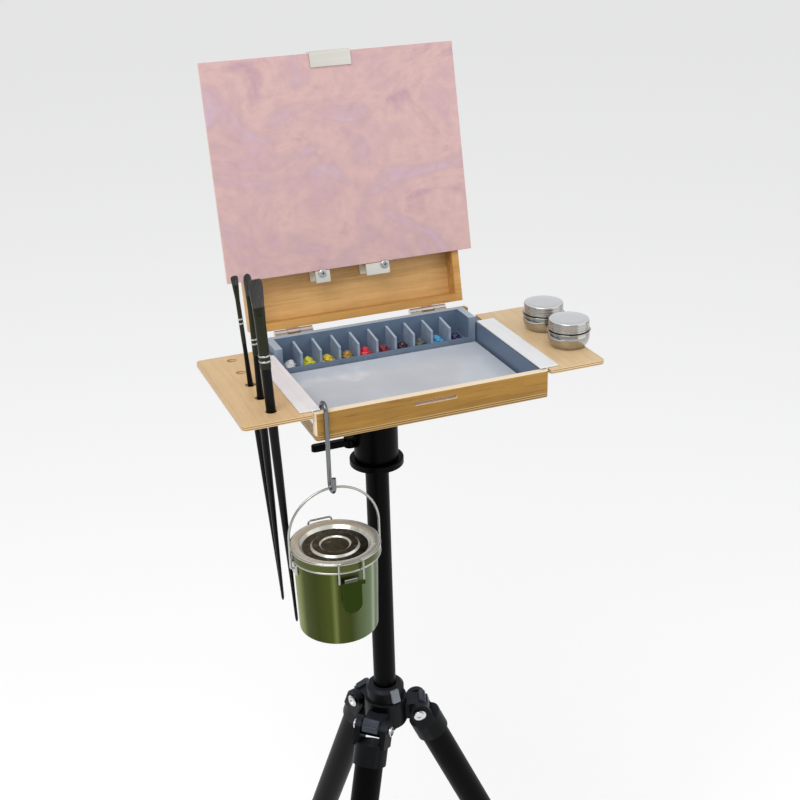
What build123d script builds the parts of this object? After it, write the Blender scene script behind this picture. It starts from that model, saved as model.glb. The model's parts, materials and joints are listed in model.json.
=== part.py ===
from build123d import *
from math import cos, radians, sin
import os

# A travelling painter's easel: a shallow wooden paint box on a ball head and a tripod.
# The lid holds a painting panel, two wings slide out of metal channels beside the box,
# and a lidded steel can for washing brushes hangs from a hook on the front board.
#
# Box frame while modelling: X to the right, Y to the rear, Z up, with the origin at the
# middle of the front board's lower front edge. Every piece is moved at the end, so that
# the origin is on the floor in the middle of the easel's footprint. Millimetres.

# Paint box
box_width = 270.0
box_depth = 221.0
front_height = 31.0
rear_height = 35.6
bottom_thickness = 6.0
board_thickness = 9.0
side_thickness = 8.0
corner_radius = 4.0
slot_width = 50.0
slot_height = 4.2
slot_z = 21.5

# Palette glass and paint tray
glass_thickness = 3.0
glass_gap = 3.0
tray_depth = 41.0
tray_height = 39.5
tray_wall = 9.0
tray_rear_wall = 7.0
tray_floor = 4.0
tray_lip_height = 8.0
tray_lip_thickness = 3.0
tray_gap = 1.2
compartments = 10
divider_thickness = 3.0
divider_rear_top = 33.0
divider_front_top = 29.0
dab_radius = 7.0
dab_height = 5.5

# Wings and the channels that carry them
wing_thickness = 5.0
wing_bottom = 27.0
wing_depth = 196.0
wing_start = -1.0
left_wing_reach = 77.0
right_wing_reach = 70.0
wing_corner = 6.0
channel_length = 164.0
channel_start = 6.0
channel_sheet = 1.6
channel_inner_lip = 7.9
channel_outer_lip = 13.0
channel_clearance = 0.3
channel_bottom = 19.0
wing_travel = 30.0
brush_hole_radius = 5.8
brush_hole_pitch = 38.4
brush_hole_start = 25.5
brush_hole_count = 5
brush_hole_inset = 38.0

# Palette cups
cup_inset = 14.5
cup_start = 58.5
cup_pitch = 61.5
cup_base_radius = 19.0
cup_bowl_radius = 24.0
cup_flange_radius = 25.0
cup_neck_radius = 20.5
cup_wall = 0.9
cup_flange_height = 19.5
cup_neck_height = 9.0
cup_lid_wall = 1.7
cup_lid_height = 12.0
cup_lid_gap = 0.5

# Lid
lid_height = 221.0
lid_board = 4.0
lid_depth = 24.0
lid_rail = 9.0
lid_open = 102.4
hinge_radius = 3.7
hinge_out = 4.0
hinge_z = 37.0
hinge_leaf = 1.2
hinge_leaf_reach = 14.0
hinge_pin_radius = 1.5
hinge_width = 47.0
hinge_centre = 86.0
hinge_gap = 0.2

# Panel, mast, clip and ledges on the lid
panel_width = 309.0
panel_height = 248.0
panel_thickness = 3.8
panel_bottom = 62.6
panel_offset = -3.3
panel_gap = 0.3
mast_width = 30.0
mast_thickness = 3.2
mast_start = 96.0
mast_depth = 20.0
mast_gap = 0.15
clip_width = 50.0
clip_height = 16.5
clip_sheet = 1.6
ledge_drop = 14.0
ledge_sheet = 1.8
ledge_screw_radius = 5.2
ledge_screw_height = 2.8
ledges = [(-43.0, 18.0, 0.0), (26.5, 30.0, 9.0)]

# Brushes: length above the wing, whole length, handle, ferrule, hair width, lean and hole
brushes = [
    {"hole": 2, "above": 126.0, "length": 398.0, "handle": 3.4, "ferrule": 2.3, "hair": 8.0, "lean": 3.9},
    {"hole": 1, "above": 139.0, "length": 392.0, "handle": 4.2, "ferrule": 3.0, "hair": 8.5, "lean": 1.9},
    {"hole": 0, "above": 145.0, "length": 405.0, "handle": 5.1, "ferrule": 5.4, "hair": 14.5, "lean": 2.7},
]
ferrule_base = 66.0
hair_base = 112.0
brush_tail_radius = 2.2

# Hook and washing can
hook_inset = 11.0
hook_wire = 4.8
hook_bend = 7.2
hook_drop = 78.5
hook_inner_leg = 16.0
can_radius = 45.0
can_taper = 2.0
can_height = 96.0
can_wall = 1.0
can_floor = 1.5
can_lid_play = 0.7
can_lid_band = 13.0
can_lid_wall = 1.2
can_rim = 1.6
can_gap = 0.4
bail_wire = 2.6
bail_side_gap = 0.8
bail_drop = 35.4
ear_reach = 2.4
ear_width = 12.0
ear_drop = 15.0
strainer_height = 22.0
latch_width = 21.0
latch_length = 24.5
latch_drop = 18.0
latch_loop_width = 27.0
latch_wire = 2.2

# Ball head under the box
head_x = -22.0
head_y = 130.0
spacer_height = 20.0
plate_thickness = 7.0
plate_size = 68.0
plate_corner = 5.0
spacer_size = 60.0
head_radius = 26.0
clamp_height = 10.0
ball_radius = 30.0
ball_gap = 0.4
ball_z = -66.0
lever_boss_radius = 6.5
lever_boss_gap = 0.4
lever_bottom = -76.0
lever_thickness = 7.5
lever_width = 9.0
lever_length = 42.0
lug_thickness = 2.4
lug_gap = 0.35
lug_root = 3.0
lever_edge = 1.2
platform_radius = 32.0
platform_thickness = 8.0
platform_z = -106.0

# Column and tripod
column_radius = 14.0
column_wall = 2.0
column_length = 384.0
column_clearance = 0.35
collar_wall = 10.0
collar_height = 20.0
spider_top = -440.0
hub_wall = 13.0
hub_height = 36.0
pivot_reach = 15.0
pivot_z = -461.0
arm_width = 26.0
arm_radius = 11.0
ear_thickness = 8.0
ear_gap = 0.3
axle_radius = 4.0
axle_clearance = 0.05
axle_head_radius = 6.6
axle_head = 2.6
leg_first = -133.0
leg_count = 3
leg_splay = 24.0
leg_length = 640.0
casting_wall = 2.0
casting_top = 19.0
casting_length = 46.0
lower_play = 0.8
upper_wall = 1.4
upper_length = 330.0
lower_radius = 15.8
lower_wall = 1.6
lower_overlap = 84.0
lock_wall = 5.2
lock_length = 44.0
foot_flare = 3.2
foot_length = 34.0
tab_width = 21.0


def block(left, right, front, rear, low, high):
    """A box between two planes on each axis, added to the part being built."""
    size = (right - left, rear - front, high - low)
    middle = ((left + right) / 2, (front + rear) / 2, (low + high) / 2)
    with Locations(middle):
        Box(*size)


half = box_width / 2
glass_top = bottom_thickness + glass_thickness
tray_front = box_depth - board_thickness - tray_gap - tray_depth
tray_rear = tray_front + tray_depth
tray_half = half - side_thickness - 1.5
wing_top = wing_bottom + wing_thickness
left_edge = -half - left_wing_reach
right_edge = half + right_wing_reach
wing_root = half + channel_sheet + 0.4
hinge_y = box_depth + hinge_out
hook_x = -half + hook_inset
can_foot_radius = can_radius - can_taper
can_lid_radius = can_radius + can_rim + can_lid_play + can_lid_wall
bail_radius = can_lid_radius + bail_wire / 2 + bail_side_gap
cup_lid_radius = cup_neck_radius + cup_lid_gap + cup_lid_wall
collar_radius = column_radius + collar_wall
hub_radius = column_radius + hub_wall
pivot_radius = hub_radius + pivot_reach
upper_radius = lower_radius + lower_play + upper_wall
casting_radius = upper_radius + casting_wall
lock_radius = lower_radius + lock_wall
foot_radius = lower_radius + foot_flare

# The paint box
with BuildPart() as box_bottom:
    block(-half, half, 0, box_depth, 0, bottom_thickness)
    fillet(box_bottom.edges().filter_by(Axis.Z), corner_radius)

with BuildPart() as box_front:
    block(-half, half, 0, board_thickness, bottom_thickness, front_height)
    fillet(box_front.edges().filter_by(Axis.Z).group_by(Axis.Y)[0], corner_radius)
    with BuildSketch(Plane.XZ) as front_slot:
        with Locations((0, slot_z)):
            SlotOverall(slot_width, slot_height)
    extrude(amount=-board_thickness, mode=Mode.SUBTRACT)

with BuildPart() as box_rear:
    block(-half, half, box_depth - board_thickness, box_depth, bottom_thickness, rear_height)
    fillet(box_rear.edges().filter_by(Axis.Z).group_by(Axis.Y)[-1], corner_radius)

with BuildPart() as box_sides:
    for side in (-1, 1):
        inner = side * (half - side_thickness)
        outer = side * half
        block(min(inner, outer), max(inner, outer), board_thickness,
              box_depth - board_thickness, bottom_thickness, front_height)

# The palette glass lies loose on the painted floor of the box
glass_half = half - side_thickness - glass_gap
with BuildPart() as palette_glass:
    block(-glass_half, glass_half, board_thickness + glass_gap, tray_front - glass_gap,
          bottom_thickness, glass_top)

# The tray: floor, two end walls, a tall rear wall and a low lip in front
floor_top = bottom_thickness + tray_floor
with BuildPart() as paint_tray:
    block(-tray_half, tray_half, tray_front, tray_rear, bottom_thickness, floor_top)
    block(-tray_half, tray_half, tray_rear - tray_rear_wall, tray_rear, floor_top, tray_height)
    block(-tray_half, tray_half, tray_front, tray_front + tray_lip_thickness, floor_top,
          bottom_thickness + tray_lip_height)
    for side in (-1, 1):
        inner = side * (tray_half - tray_wall)
        outer = side * tray_half
        block(min(inner, outer), max(inner, outer), tray_front, tray_rear, floor_top, tray_height)

cell_span = 2 * (tray_half - tray_wall)
cell_pitch = cell_span / compartments
divider_front = tray_front + tray_lip_thickness
divider_rear = tray_rear - tray_rear_wall
with BuildPart() as tray_dividers:
    for number in range(1, compartments):
        divider_x = -cell_span / 2 + number * cell_pitch
        with BuildSketch(Plane.YZ.offset(divider_x - divider_thickness / 2)):
            with BuildLine():
                Polyline(
                    (divider_front, floor_top),
                    (divider_rear, floor_top),
                    (divider_rear, divider_rear_top),
                    (divider_front, divider_front_top),
                    close=True,
                )
            make_face()
        extrude(amount=divider_thickness)

dab_y = (divider_front + divider_rear) / 2 - 3
dab_sphere = (dab_radius ** 2 + dab_height ** 2) / (2 * dab_height)
with BuildPart() as paint_dabs:
    for number in range(compartments):
        dab_x = -cell_span / 2 + (number + 0.5) * cell_pitch
        with Locations((dab_x, dab_y, floor_top + dab_height - dab_sphere)):
            Sphere(dab_sphere)
    split(bisect_by=Plane.XY.offset(floor_top), keep=Keep.TOP)

# Metal channels on the sides of the box
channel_end = channel_start + channel_length
channel_top = wing_top + channel_clearance + channel_sheet
with BuildPart() as wing_channels:
    for side in (-1, 1):
        lip_in = side * (half - channel_inner_lip)
        web_in = side * half
        web_out = side * (half + channel_sheet)
        lip_out = side * (half + channel_sheet + channel_outer_lip)
        block(min(lip_in, lip_out), max(lip_in, lip_out), channel_start, channel_end,
              channel_top - channel_sheet, channel_top)
        block(min(web_in, web_out), max(web_in, web_out), channel_start, channel_end,
              channel_bottom, channel_top)
        low_top = wing_bottom - channel_clearance
        block(min(web_in, lip_out), max(web_in, lip_out), channel_start, channel_end,
              low_top - channel_sheet, low_top)

# Wings
with BuildPart() as wing_left:
    block(left_edge, -wing_root, wing_start, wing_start + wing_depth, wing_bottom, wing_top)
    fillet(wing_left.edges().filter_by(Axis.Z).group_by(Axis.X)[0], wing_corner)
    hole_x = left_edge + brush_hole_inset
    for number in range(brush_hole_count):
        hole_y = brush_hole_start + number * brush_hole_pitch
        with Locations((hole_x, hole_y, wing_top)):
            Hole(brush_hole_radius, depth=wing_thickness)

with BuildPart() as wing_right:
    block(wing_root, right_edge, wing_start, wing_start + wing_depth, wing_bottom, wing_top)
    fillet(wing_right.edges().filter_by(Axis.Z).group_by(Axis.X)[-1], wing_corner)

# Palette cups with screw lids, on the right wing
cup_x = right_edge - cup_inset
cup_bottom = wing_top + 0.2


def cup_body(centre_y):
    """A bulging bowl with a flat foot, a flange and a plain neck."""
    profile_plane = Plane(origin=(cup_x, centre_y, cup_bottom), x_dir=(1, 0, 0), z_dir=(0, -1, 0))
    flange = cup_flange_height
    mouth = flange + cup_neck_height
    with BuildPart() as cup:
        with BuildSketch(profile_plane):
            with BuildLine():
                foot = Line((0, 0), (cup_base_radius, 0))
                bulge = ThreePointArc(foot @ 1, (cup_bowl_radius, flange * 0.55),
                                      (cup_bowl_radius - 1.0, flange - 1.2))
                edge = Polyline(bulge @ 1, (cup_flange_radius, flange - 1.2), (cup_flange_radius, flange),
                                (cup_neck_radius, flange), (cup_neck_radius, mouth),
                                (cup_neck_radius - cup_wall, mouth), (cup_neck_radius - cup_wall, flange))
                inside = ThreePointArc(edge @ 1, (cup_bowl_radius - cup_wall, flange * 0.55),
                                       (cup_base_radius - cup_wall, cup_wall))
                Polyline(inside @ 1, (0, cup_wall), (0, 0))
            make_face()
        revolve(axis=Axis((cup_x, centre_y, 0), (0, 0, 1)))
    return cup


def cup_cover(centre_y):
    """A shallow screw lid with a stepped rim."""
    inner = cup_neck_radius + cup_lid_gap
    low = cup_bottom + cup_flange_height + cup_lid_gap
    skirt = cup_neck_height - 0.6
    with BuildPart() as cover:
        with BuildSketch(Plane(origin=(cup_x, centre_y, low), x_dir=(1, 0, 0), z_dir=(0, -1, 0))):
            with BuildLine():
                Polyline((inner, 0), (cup_lid_radius + 0.6, 0), (cup_lid_radius + 0.6, 1.2),
                         (cup_lid_radius, 1.6), (cup_lid_radius, cup_lid_height),
                         (0, cup_lid_height), (0, skirt + 0.9), (inner, skirt + 0.9), close=True)
            make_face()
        revolve(axis=Axis((cup_x, centre_y, 0), (0, 0, 1)))
    return cover


cup_front = cup_body(cup_start)
cup_rear = cup_body(cup_start + cup_pitch)
cup_front_lid = cup_cover(cup_start)
cup_rear_lid = cup_cover(cup_start + cup_pitch)

# Lid. Its own plane has x to the right, y up along the lid and z out of its open side.
lid_tilt = radians(lid_open - 90)
lid_up = Vector(0, sin(lid_tilt), cos(lid_tilt))
lid_out = Vector(0, -cos(lid_tilt), sin(lid_tilt))
hinge_axis_depth = lid_depth + hinge_leaf + hinge_gap
hinge_point = Vector(0, hinge_y, hinge_z)
lid_origin = hinge_point + lid_up * hinge_out - lid_out * hinge_axis_depth
lid_plane = Plane(origin=lid_origin, x_dir=(1, 0, 0), z_dir=lid_out)
panel_back = lid_depth + panel_gap
panel_face = panel_back + panel_thickness
panel_top = panel_bottom + panel_height

with BuildPart(lid_plane) as lid_back:
    block(-half, half, 0, lid_height, 0, lid_board)

with BuildPart(lid_plane) as lid_rails:
    block(-half, half, 0, lid_rail, lid_board, lid_depth)
    block(-half, half, lid_height - lid_rail, lid_height, lid_board, lid_depth)
    for side in (-1, 1):
        inner = side * (half - lid_rail)
        outer = side * half
        block(min(inner, outer), max(inner, outer), lid_rail, lid_height - lid_rail, lid_board, lid_depth)
    mast_half = mast_width / 2 + mast_gap
    with BuildSketch(lid_plane.offset(mast_depth - mast_thickness / 2 - mast_gap)):
        with Locations((panel_offset, lid_height - lid_rail / 2)):
            Rectangle(2 * mast_half, lid_rail + 2)
    extrude(amount=mast_thickness + 2 * mast_gap, mode=Mode.SUBTRACT)

# Guide cleat that keeps the mast's lower end on the lid
cleat_low = mast_start + 6
cleat_high = cleat_low + 26
with BuildPart(lid_plane) as mast_guide:
    guide_half = mast_width / 2 + mast_gap + 9
    block(panel_offset - guide_half, panel_offset + guide_half, cleat_low, cleat_high,
          lid_board, lid_depth - 1)
    with BuildSketch(lid_plane.offset(mast_depth - mast_thickness / 2 - mast_gap)):
        with Locations((panel_offset, (cleat_low + cleat_high) / 2)):
            Rectangle(2 * mast_half, cleat_high - cleat_low + 2)
    extrude(amount=mast_thickness + 2 * mast_gap, mode=Mode.SUBTRACT)

clip_low = panel_top + panel_gap - clip_height
clip_top = panel_top + panel_gap + clip_sheet
with BuildPart(lid_plane) as mast:
    block(panel_offset - mast_width / 2, panel_offset + mast_width / 2, mast_start, clip_top - clip_sheet,
          mast_depth - mast_thickness / 2, mast_depth + mast_thickness / 2)

with BuildPart(lid_plane) as top_clip:
    clip_left = panel_offset - clip_width / 2
    clip_right = panel_offset + clip_width / 2
    clip_back = mast_depth - mast_thickness / 2
    clip_front = panel_face + panel_gap + clip_sheet
    block(clip_left, clip_right, clip_top - clip_sheet, clip_top, clip_back, clip_front)
    block(clip_left, clip_right, clip_low, clip_top, clip_front - clip_sheet, clip_front)

# Ledge clips that carry the panel's lower edge, each with a round-headed screw
ledge_top = panel_bottom - panel_gap
with BuildPart(lid_plane) as ledge_clips:
    for ledge_x, ledge_width, screw_shift in ledges:
        ledge_left = ledge_x - ledge_width / 2
        ledge_right = ledge_x + ledge_width / 2
        front = panel_face + panel_gap + ledge_sheet
        block(ledge_left, ledge_right, ledge_top - ledge_sheet, ledge_top, lid_board, front)
        block(ledge_left, ledge_right, ledge_top - ledge_drop, ledge_top, lid_board, lid_board + ledge_sheet)
        block(ledge_left, ledge_right, ledge_top - ledge_drop, ledge_top, front - ledge_sheet, front)

with BuildPart(lid_plane) as ledge_screws:
    for ledge_x, ledge_width, screw_shift in ledges:
        front = panel_face + panel_gap + ledge_sheet
        with BuildSketch(lid_plane.offset(front)):
            with Locations((ledge_x + screw_shift, ledge_top - 3)):
                Circle(ledge_screw_radius)
        extrude(amount=ledge_screw_height)
    heads = ledge_screws.faces().group_by(Axis(tuple(lid_origin), tuple(lid_out)))[-1]
    fillet(heads.edges(), ledge_screw_height * 0.55)

with BuildPart(lid_plane) as canvas_panel:
    block(panel_offset - panel_width / 2, panel_offset + panel_width / 2, panel_bottom, panel_top,
          panel_back, panel_face)

# Hinges: the outer knuckles are on the box and the middle one is on the lid
knuckle = hinge_width / 3


def barrel(centre_x, length, radius):
    """A round bar along X about the lid's hinge line."""
    with Locations((centre_x, hinge_y, hinge_z)):
        Cylinder(radius, length, rotation=(0, 90, 0))


with BuildPart() as box_hinges:
    for side in (-1, 1):
        middle = side * hinge_centre
        for shift in (-knuckle, knuckle):
            barrel(middle + shift, knuckle, hinge_radius)
        for shift in (-knuckle, knuckle):
            block(middle + shift - knuckle / 2, middle + shift + knuckle / 2, box_depth - board_thickness,
                  hinge_y, rear_height, rear_height + hinge_leaf)
        barrel(middle, hinge_width, hinge_pin_radius)

lid_knuckle = knuckle - 0.6
with BuildPart() as lid_hinges:
    for side in (-1, 1):
        middle = side * hinge_centre
        barrel(middle, lid_knuckle, hinge_radius)
        with Locations(lid_plane):
            with Locations((middle, -hinge_leaf / 2, hinge_axis_depth - hinge_leaf_reach / 2)):
                Box(lid_knuckle, hinge_leaf, hinge_leaf_reach)
    with BuildSketch(Plane(origin=(-half, hinge_y, hinge_z), x_dir=(0, 1, 0), z_dir=(1, 0, 0))):
        Circle(hinge_pin_radius + 0.05)
    extrude(amount=box_width, mode=Mode.SUBTRACT)


def brush_plane(spec):
    """The brush's own plane: z runs up the handle, and the origin is at the wing's top."""
    lean = radians(spec["lean"])
    hole = (left_edge + brush_hole_inset, brush_hole_start + spec["hole"] * brush_hole_pitch, wing_top)
    return Plane(origin=hole, x_dir=(cos(lean), 0, sin(lean)), z_dir=(-sin(lean), 0, cos(lean)))


def brush(spec):
    """A long tapered handle with its ferrule, and the hair above it."""
    place = brush_plane(spec)
    below = spec["length"] - spec["above"]
    with BuildPart(place) as made:
        with BuildSketch(Plane(origin=place.origin, x_dir=place.x_dir, z_dir=-place.y_dir)):
            with BuildLine():
                Polyline((0, -below), (brush_tail_radius * 0.6, -below), (brush_tail_radius, -below + 6),
                         (spec["handle"] * 0.93, -35), (spec["handle"], 5), (spec["ferrule"], ferrule_base),
                         (spec["ferrule"], hair_base), (0, hair_base), close=True)
            make_face()
        revolve(axis=Axis(place.origin, place.z_dir))
        thickness = min(1.7 * spec["ferrule"], 6.5)
        with BuildSketch(place.offset(hair_base - 14)):
            Circle(spec["ferrule"])
        with BuildSketch(place.offset(hair_base)):
            RectangleRounded(spec["hair"] * 0.86, thickness, thickness * 0.45)
        loft()
        with BuildSketch(place.offset(hair_base)):
            RectangleRounded(spec["hair"] * 0.86, thickness, thickness * 0.45)
        with BuildSketch(place.offset(spec["above"])):
            RectangleRounded(spec["hair"], thickness * 0.5, thickness * 0.24)
        loft()
    return made


brush_1 = brush(brushes[0])
brush_2 = brush(brushes[1])
brush_3 = brush(brushes[2])

# Hook: a round wire bent over the front board, with a J at its lower end, opening forwards
wire = hook_wire / 2
front_leg_y = board_thickness / 2 - hook_bend
rear_leg_y = board_thickness / 2 + hook_bend
arch_z = front_height + 1.6
bend_z = front_height - hook_drop
j_y = front_leg_y - hook_bend
with BuildPart() as can_hook:
    with BuildLine(Plane.YZ.offset(hook_x)) as hook_path:
        inner_leg = Line((rear_leg_y, arch_z - hook_inner_leg), (rear_leg_y, arch_z))
        arch = ThreePointArc(inner_leg @ 1, (board_thickness / 2, arch_z + hook_bend), (front_leg_y, arch_z))
        shank = Line(arch @ 1, (front_leg_y, bend_z))
        lower = ThreePointArc(shank @ 1, (j_y, bend_z - hook_bend), (j_y - hook_bend, bend_z))
        Line(lower @ 1, (j_y - hook_bend, bend_z + 11))
    with BuildSketch(Plane(origin=inner_leg @ 0, z_dir=inner_leg % 0)):
        Circle(wire)
    sweep()

# Washing can, with its lid, bail, strainer and two toggle latches
bail_top = bend_z - hook_bend + wire + bail_wire / 2 + 0.15
bail_centre_z = bail_top - bail_radius
ear_z = bail_centre_z - bail_drop
can_top = ear_z + ear_drop
can_base = can_top - can_height
can_axis = Axis((hook_x, j_y, 0), (0, 0, 1))


def can_profile(low):
    """A vertical plane through the can's axis, for a profile to be turned about it."""
    return Plane(origin=(hook_x, j_y, low), x_dir=(1, 0, 0), z_dir=(0, -1, 0))


with BuildPart() as can_body:
    with BuildSketch(can_profile(can_base)):
        with BuildLine():
            Polyline((0, 0), (can_foot_radius - 2, 0), (can_foot_radius, 2), (can_radius, can_height - 22),
                     (can_radius, can_height - can_rim), (can_radius + can_rim, can_height - can_rim),
                     (can_radius + can_rim, can_height), (can_radius - can_wall, can_height),
                     (can_radius - can_wall, can_height - 22), (can_foot_radius - can_wall, can_floor + 2),
                     (can_foot_radius - can_wall - 2, can_floor), (0, can_floor), close=True)
        make_face()
    revolve(axis=can_axis)

with BuildPart() as can_lid:
    lid_inner = can_lid_radius - can_lid_wall
    lid_seat = can_gap
    with BuildSketch(can_profile(can_top + lid_seat)):
        with BuildLine():
            Polyline((0, 2.0), (15.5, 2.0), (17, 3.6), (25, 3.6), (26.5, 1.2), (36, 1.2), (39, 5.0),
                     (can_lid_radius - 4, 6.6), (can_lid_radius - 1, 6.6), (can_lid_radius, 5.6),
                     (can_lid_radius, 6.6 - can_lid_band), (lid_inner, 6.6 - can_lid_band),
                     (lid_inner, 3.0), (40.5, 3.0), (37.5, 0.0), (25.6, 0.0), (24.2, 2.4), (17.8, 2.4),
                     (16.2, 0.8), (0, 0.8), close=True)
        make_face()
    revolve(axis=can_axis)

# Ears for the bail and posts for the latches, all welded to the can
latch_z = can_top - latch_drop
with BuildPart() as can_fittings:
    for side in (-1, 1):
        inner = hook_x + side * (can_radius + 0.05)
        outer = hook_x + side * (can_radius + ear_reach)
        block(min(inner, outer), max(inner, outer), j_y - ear_width / 2, j_y + ear_width / 2,
              ear_z - ear_width / 2, ear_z + ear_width / 2)
    with BuildSketch(Plane.YZ.offset(hook_x - can_radius - 20)):
        with Locations((j_y, ear_z)):
            Circle(bail_wire / 2 + 0.15)
    extrude(amount=2 * can_radius + 40, mode=Mode.SUBTRACT)
    for side in (-1, 1):
        near = j_y + side * (can_radius + 0.05)
        far = j_y + side * (can_lid_radius + 0.1)
        block(hook_x - 7, hook_x + 7, min(near, far), max(near, far), latch_z - 5, latch_z + 5)

with BuildPart() as can_bail:
    with BuildLine(Plane.XZ.offset(-j_y)) as bail_path:
        left_x = hook_x - bail_radius
        right_x = hook_x + bail_radius
        pin_in = can_radius + 0.6
        corner = 3.0
        FilletPolyline((hook_x - pin_in, ear_z), (left_x, ear_z), (left_x, bail_centre_z), radius=corner)
        top_arc = ThreePointArc((left_x, bail_centre_z), (hook_x, bail_top), (right_x, bail_centre_z))
        FilletPolyline((right_x, bail_centre_z), (right_x, ear_z), (hook_x + pin_in, ear_z), radius=corner)
    with BuildSketch(Plane(origin=(hook_x - pin_in, j_y, ear_z), z_dir=(-1, 0, 0))):
        Circle(bail_wire / 2)
    sweep()

with BuildPart() as can_strainer:
    screen_z = can_base + strainer_height
    with BuildSketch(Plane.XY.offset(screen_z)):
        with Locations((hook_x, j_y)):
            Circle(can_foot_radius - can_wall - 0.8)
            with PolarLocations(30, 14):
                Circle(2.6, mode=Mode.SUBTRACT)
            with PolarLocations(18, 8):
                Circle(2.6, mode=Mode.SUBTRACT)
            Circle(6, mode=Mode.SUBTRACT)
    extrude(amount=1)
    with BuildSketch(Plane.XY.offset(can_base + can_floor)):
        with Locations((hook_x, j_y)):
            with PolarLocations(37, 3):
                Circle(2)
    extrude(amount=strainer_height - can_floor)

loop_top = can_top + lid_seat + 6.6 + latch_wire / 2 + 0.35


def can_latch(side):
    """A wire loop over the lid's rim and the lever plate that pulls it down."""
    face_y = j_y + side * (can_lid_radius + latch_wire / 2 + 0.6)
    place = Plane(origin=(hook_x, face_y, latch_z), x_dir=(-side, 0, 0), z_dir=(0, side, 0))
    with BuildPart() as latch:
        with BuildLine(place) as loop_path:
            rise = loop_top - latch_z
            reach = latch_loop_width / 2
            FilletPolyline((-reach, 0), (-reach, rise), (reach, rise), (reach, 0), radius=3.5)
        loop_start = place.from_local_coords((-reach, 0))
        with BuildSketch(Plane(origin=loop_start, z_dir=(0, 0, 1))):
            Circle(latch_wire / 2)
        sweep()
        with BuildSketch(place.offset(-latch_wire / 2)):
            with Locations((0, 0)):
                Rectangle(latch_loop_width + latch_wire, 5)
            with Locations((0, -latch_length / 2)):
                Rectangle(latch_width, latch_length)
            with Locations((0, -latch_length)):
                Circle(latch_width / 2)
        extrude(amount=latch_wire)
    return latch


latch_front = can_latch(-1)
latch_back = can_latch(1)

# Plate and spacer under the box
with BuildPart() as mount_plate:
    plate_top = -spacer_height
    block(head_x - plate_size / 2, head_x + plate_size / 2, head_y - plate_size / 2, head_y + plate_size / 2,
          plate_top - plate_thickness, plate_top)
    fillet(mount_plate.edges().filter_by(Axis.Z), plate_corner)
    block(head_x - spacer_size / 2, head_x + spacer_size / 2, head_y - spacer_size / 2,
          head_y + spacer_size / 2, plate_top, 0)

# Ball head: the clamp's cupped underside turns over the body's domed top
clamp_top = plate_top - plate_thickness
with BuildPart() as head_clamp:
    with BuildSketch(Plane.XY.offset(ball_z)):
        with Locations((head_x, head_y)):
            Circle(head_radius)
    extrude(amount=clamp_top - ball_z)
    with Locations((head_x, head_y, ball_z)):
        Sphere(ball_radius + ball_gap, mode=Mode.SUBTRACT)

platform_top = platform_z + platform_thickness
with BuildPart() as head_body:
    with BuildSketch(Plane.XY.offset(platform_top)):
        with Locations((head_x, head_y)):
            Circle(head_radius)
    extrude(amount=ball_z - platform_top + ball_radius + 1)
    with BuildSketch(Plane(origin=(head_x, head_y, ball_z), x_dir=(1, 0, 0), z_dir=(0, -1, 0))):
        with BuildLine():
            shoulder = (ball_radius * sin(radians(45)), ball_radius * cos(radians(45)))
            dome = ThreePointArc((0, ball_radius), shoulder, (ball_radius, 0))
            beyond = ball_radius + 9
            Polyline(dome @ 1, (beyond, 0), (beyond, beyond), (0, beyond), dome @ 0)
        make_face()
    revolve(axis=Axis((head_x, head_y, 0), (0, 0, 1)), mode=Mode.SUBTRACT)

# Lever that locks the ball: it swings on a boss held between two lugs on the body's left side
lever_x = head_x - head_radius - lever_boss_gap - lever_boss_radius
lever_top = lever_bottom + lever_thickness
with BuildPart() as head_lever:
    with BuildSketch(Plane.XY.offset(lever_bottom)):
        with Locations((lever_x, head_y)):
            Circle(lever_boss_radius)
        with Locations((lever_x - lever_length / 2, head_y)):
            SlotOverall(lever_length + lever_width, lever_width)
    extrude(amount=lever_thickness)
    fillet(head_lever.faces().sort_by(Axis.Z)[-1].edges(), lever_edge)

with BuildPart() as lever_lugs:
    for lug_bottom in (lever_bottom - lug_gap - lug_thickness, lever_top + lug_gap):
        with BuildSketch(Plane.XY.offset(lug_bottom)):
            with Locations((lever_x, head_y)):
                Circle(lever_boss_radius)
            with Locations(((lever_x + head_x - head_radius + lug_root) / 2, head_y)):
                Rectangle(head_x - head_radius + lug_root - lever_x, 2 * lever_boss_radius)
        extrude(amount=lug_thickness)
head_body.part = head_body.part + lever_lugs.part

with BuildPart() as platform:
    with BuildSketch(Plane.XY.offset(platform_z)):
        with Locations((head_x, head_y)):
            Circle(platform_radius)
    extrude(amount=platform_thickness)
    chamfer(platform.edges().group_by(Axis.Z)[-1], 0.8)

# Column
column_bottom = platform_z - column_length
with BuildPart() as column:
    with BuildSketch(Plane.XY.offset(column_bottom)):
        with Locations((head_x, head_y)):
            Circle(column_radius)
            Circle(column_radius - column_wall, mode=Mode.SUBTRACT)
    extrude(amount=column_length)

# Locking collar and spider
sliding_radius = column_radius + column_clearance
with BuildPart() as lock_collar:
    with BuildSketch(Plane.XY.offset(spider_top + 0.3)):
        with Locations((head_x, head_y)):
            Circle(collar_radius)
            Circle(sliding_radius, mode=Mode.SUBTRACT)
    extrude(amount=collar_height)
    chamfer(lock_collar.edges().group_by(Axis.Z)[-1].sort_by(SortBy.LENGTH)[-1], 4)

leg_angles = [leg_first + 360 / leg_count * number for number in range(leg_count)]


def leg_frame(angle):
    """The leg's plane at its pivot: z runs down the leg and x lies along the axle."""
    turn = radians(angle)
    splay = radians(leg_splay)
    pivot = (head_x + pivot_radius * cos(turn), head_y + pivot_radius * sin(turn), pivot_z)
    along = (sin(splay) * cos(turn), sin(splay) * sin(turn), -cos(splay))
    return Plane(origin=pivot, x_dir=(-sin(turn), cos(turn), 0), z_dir=along)


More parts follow.
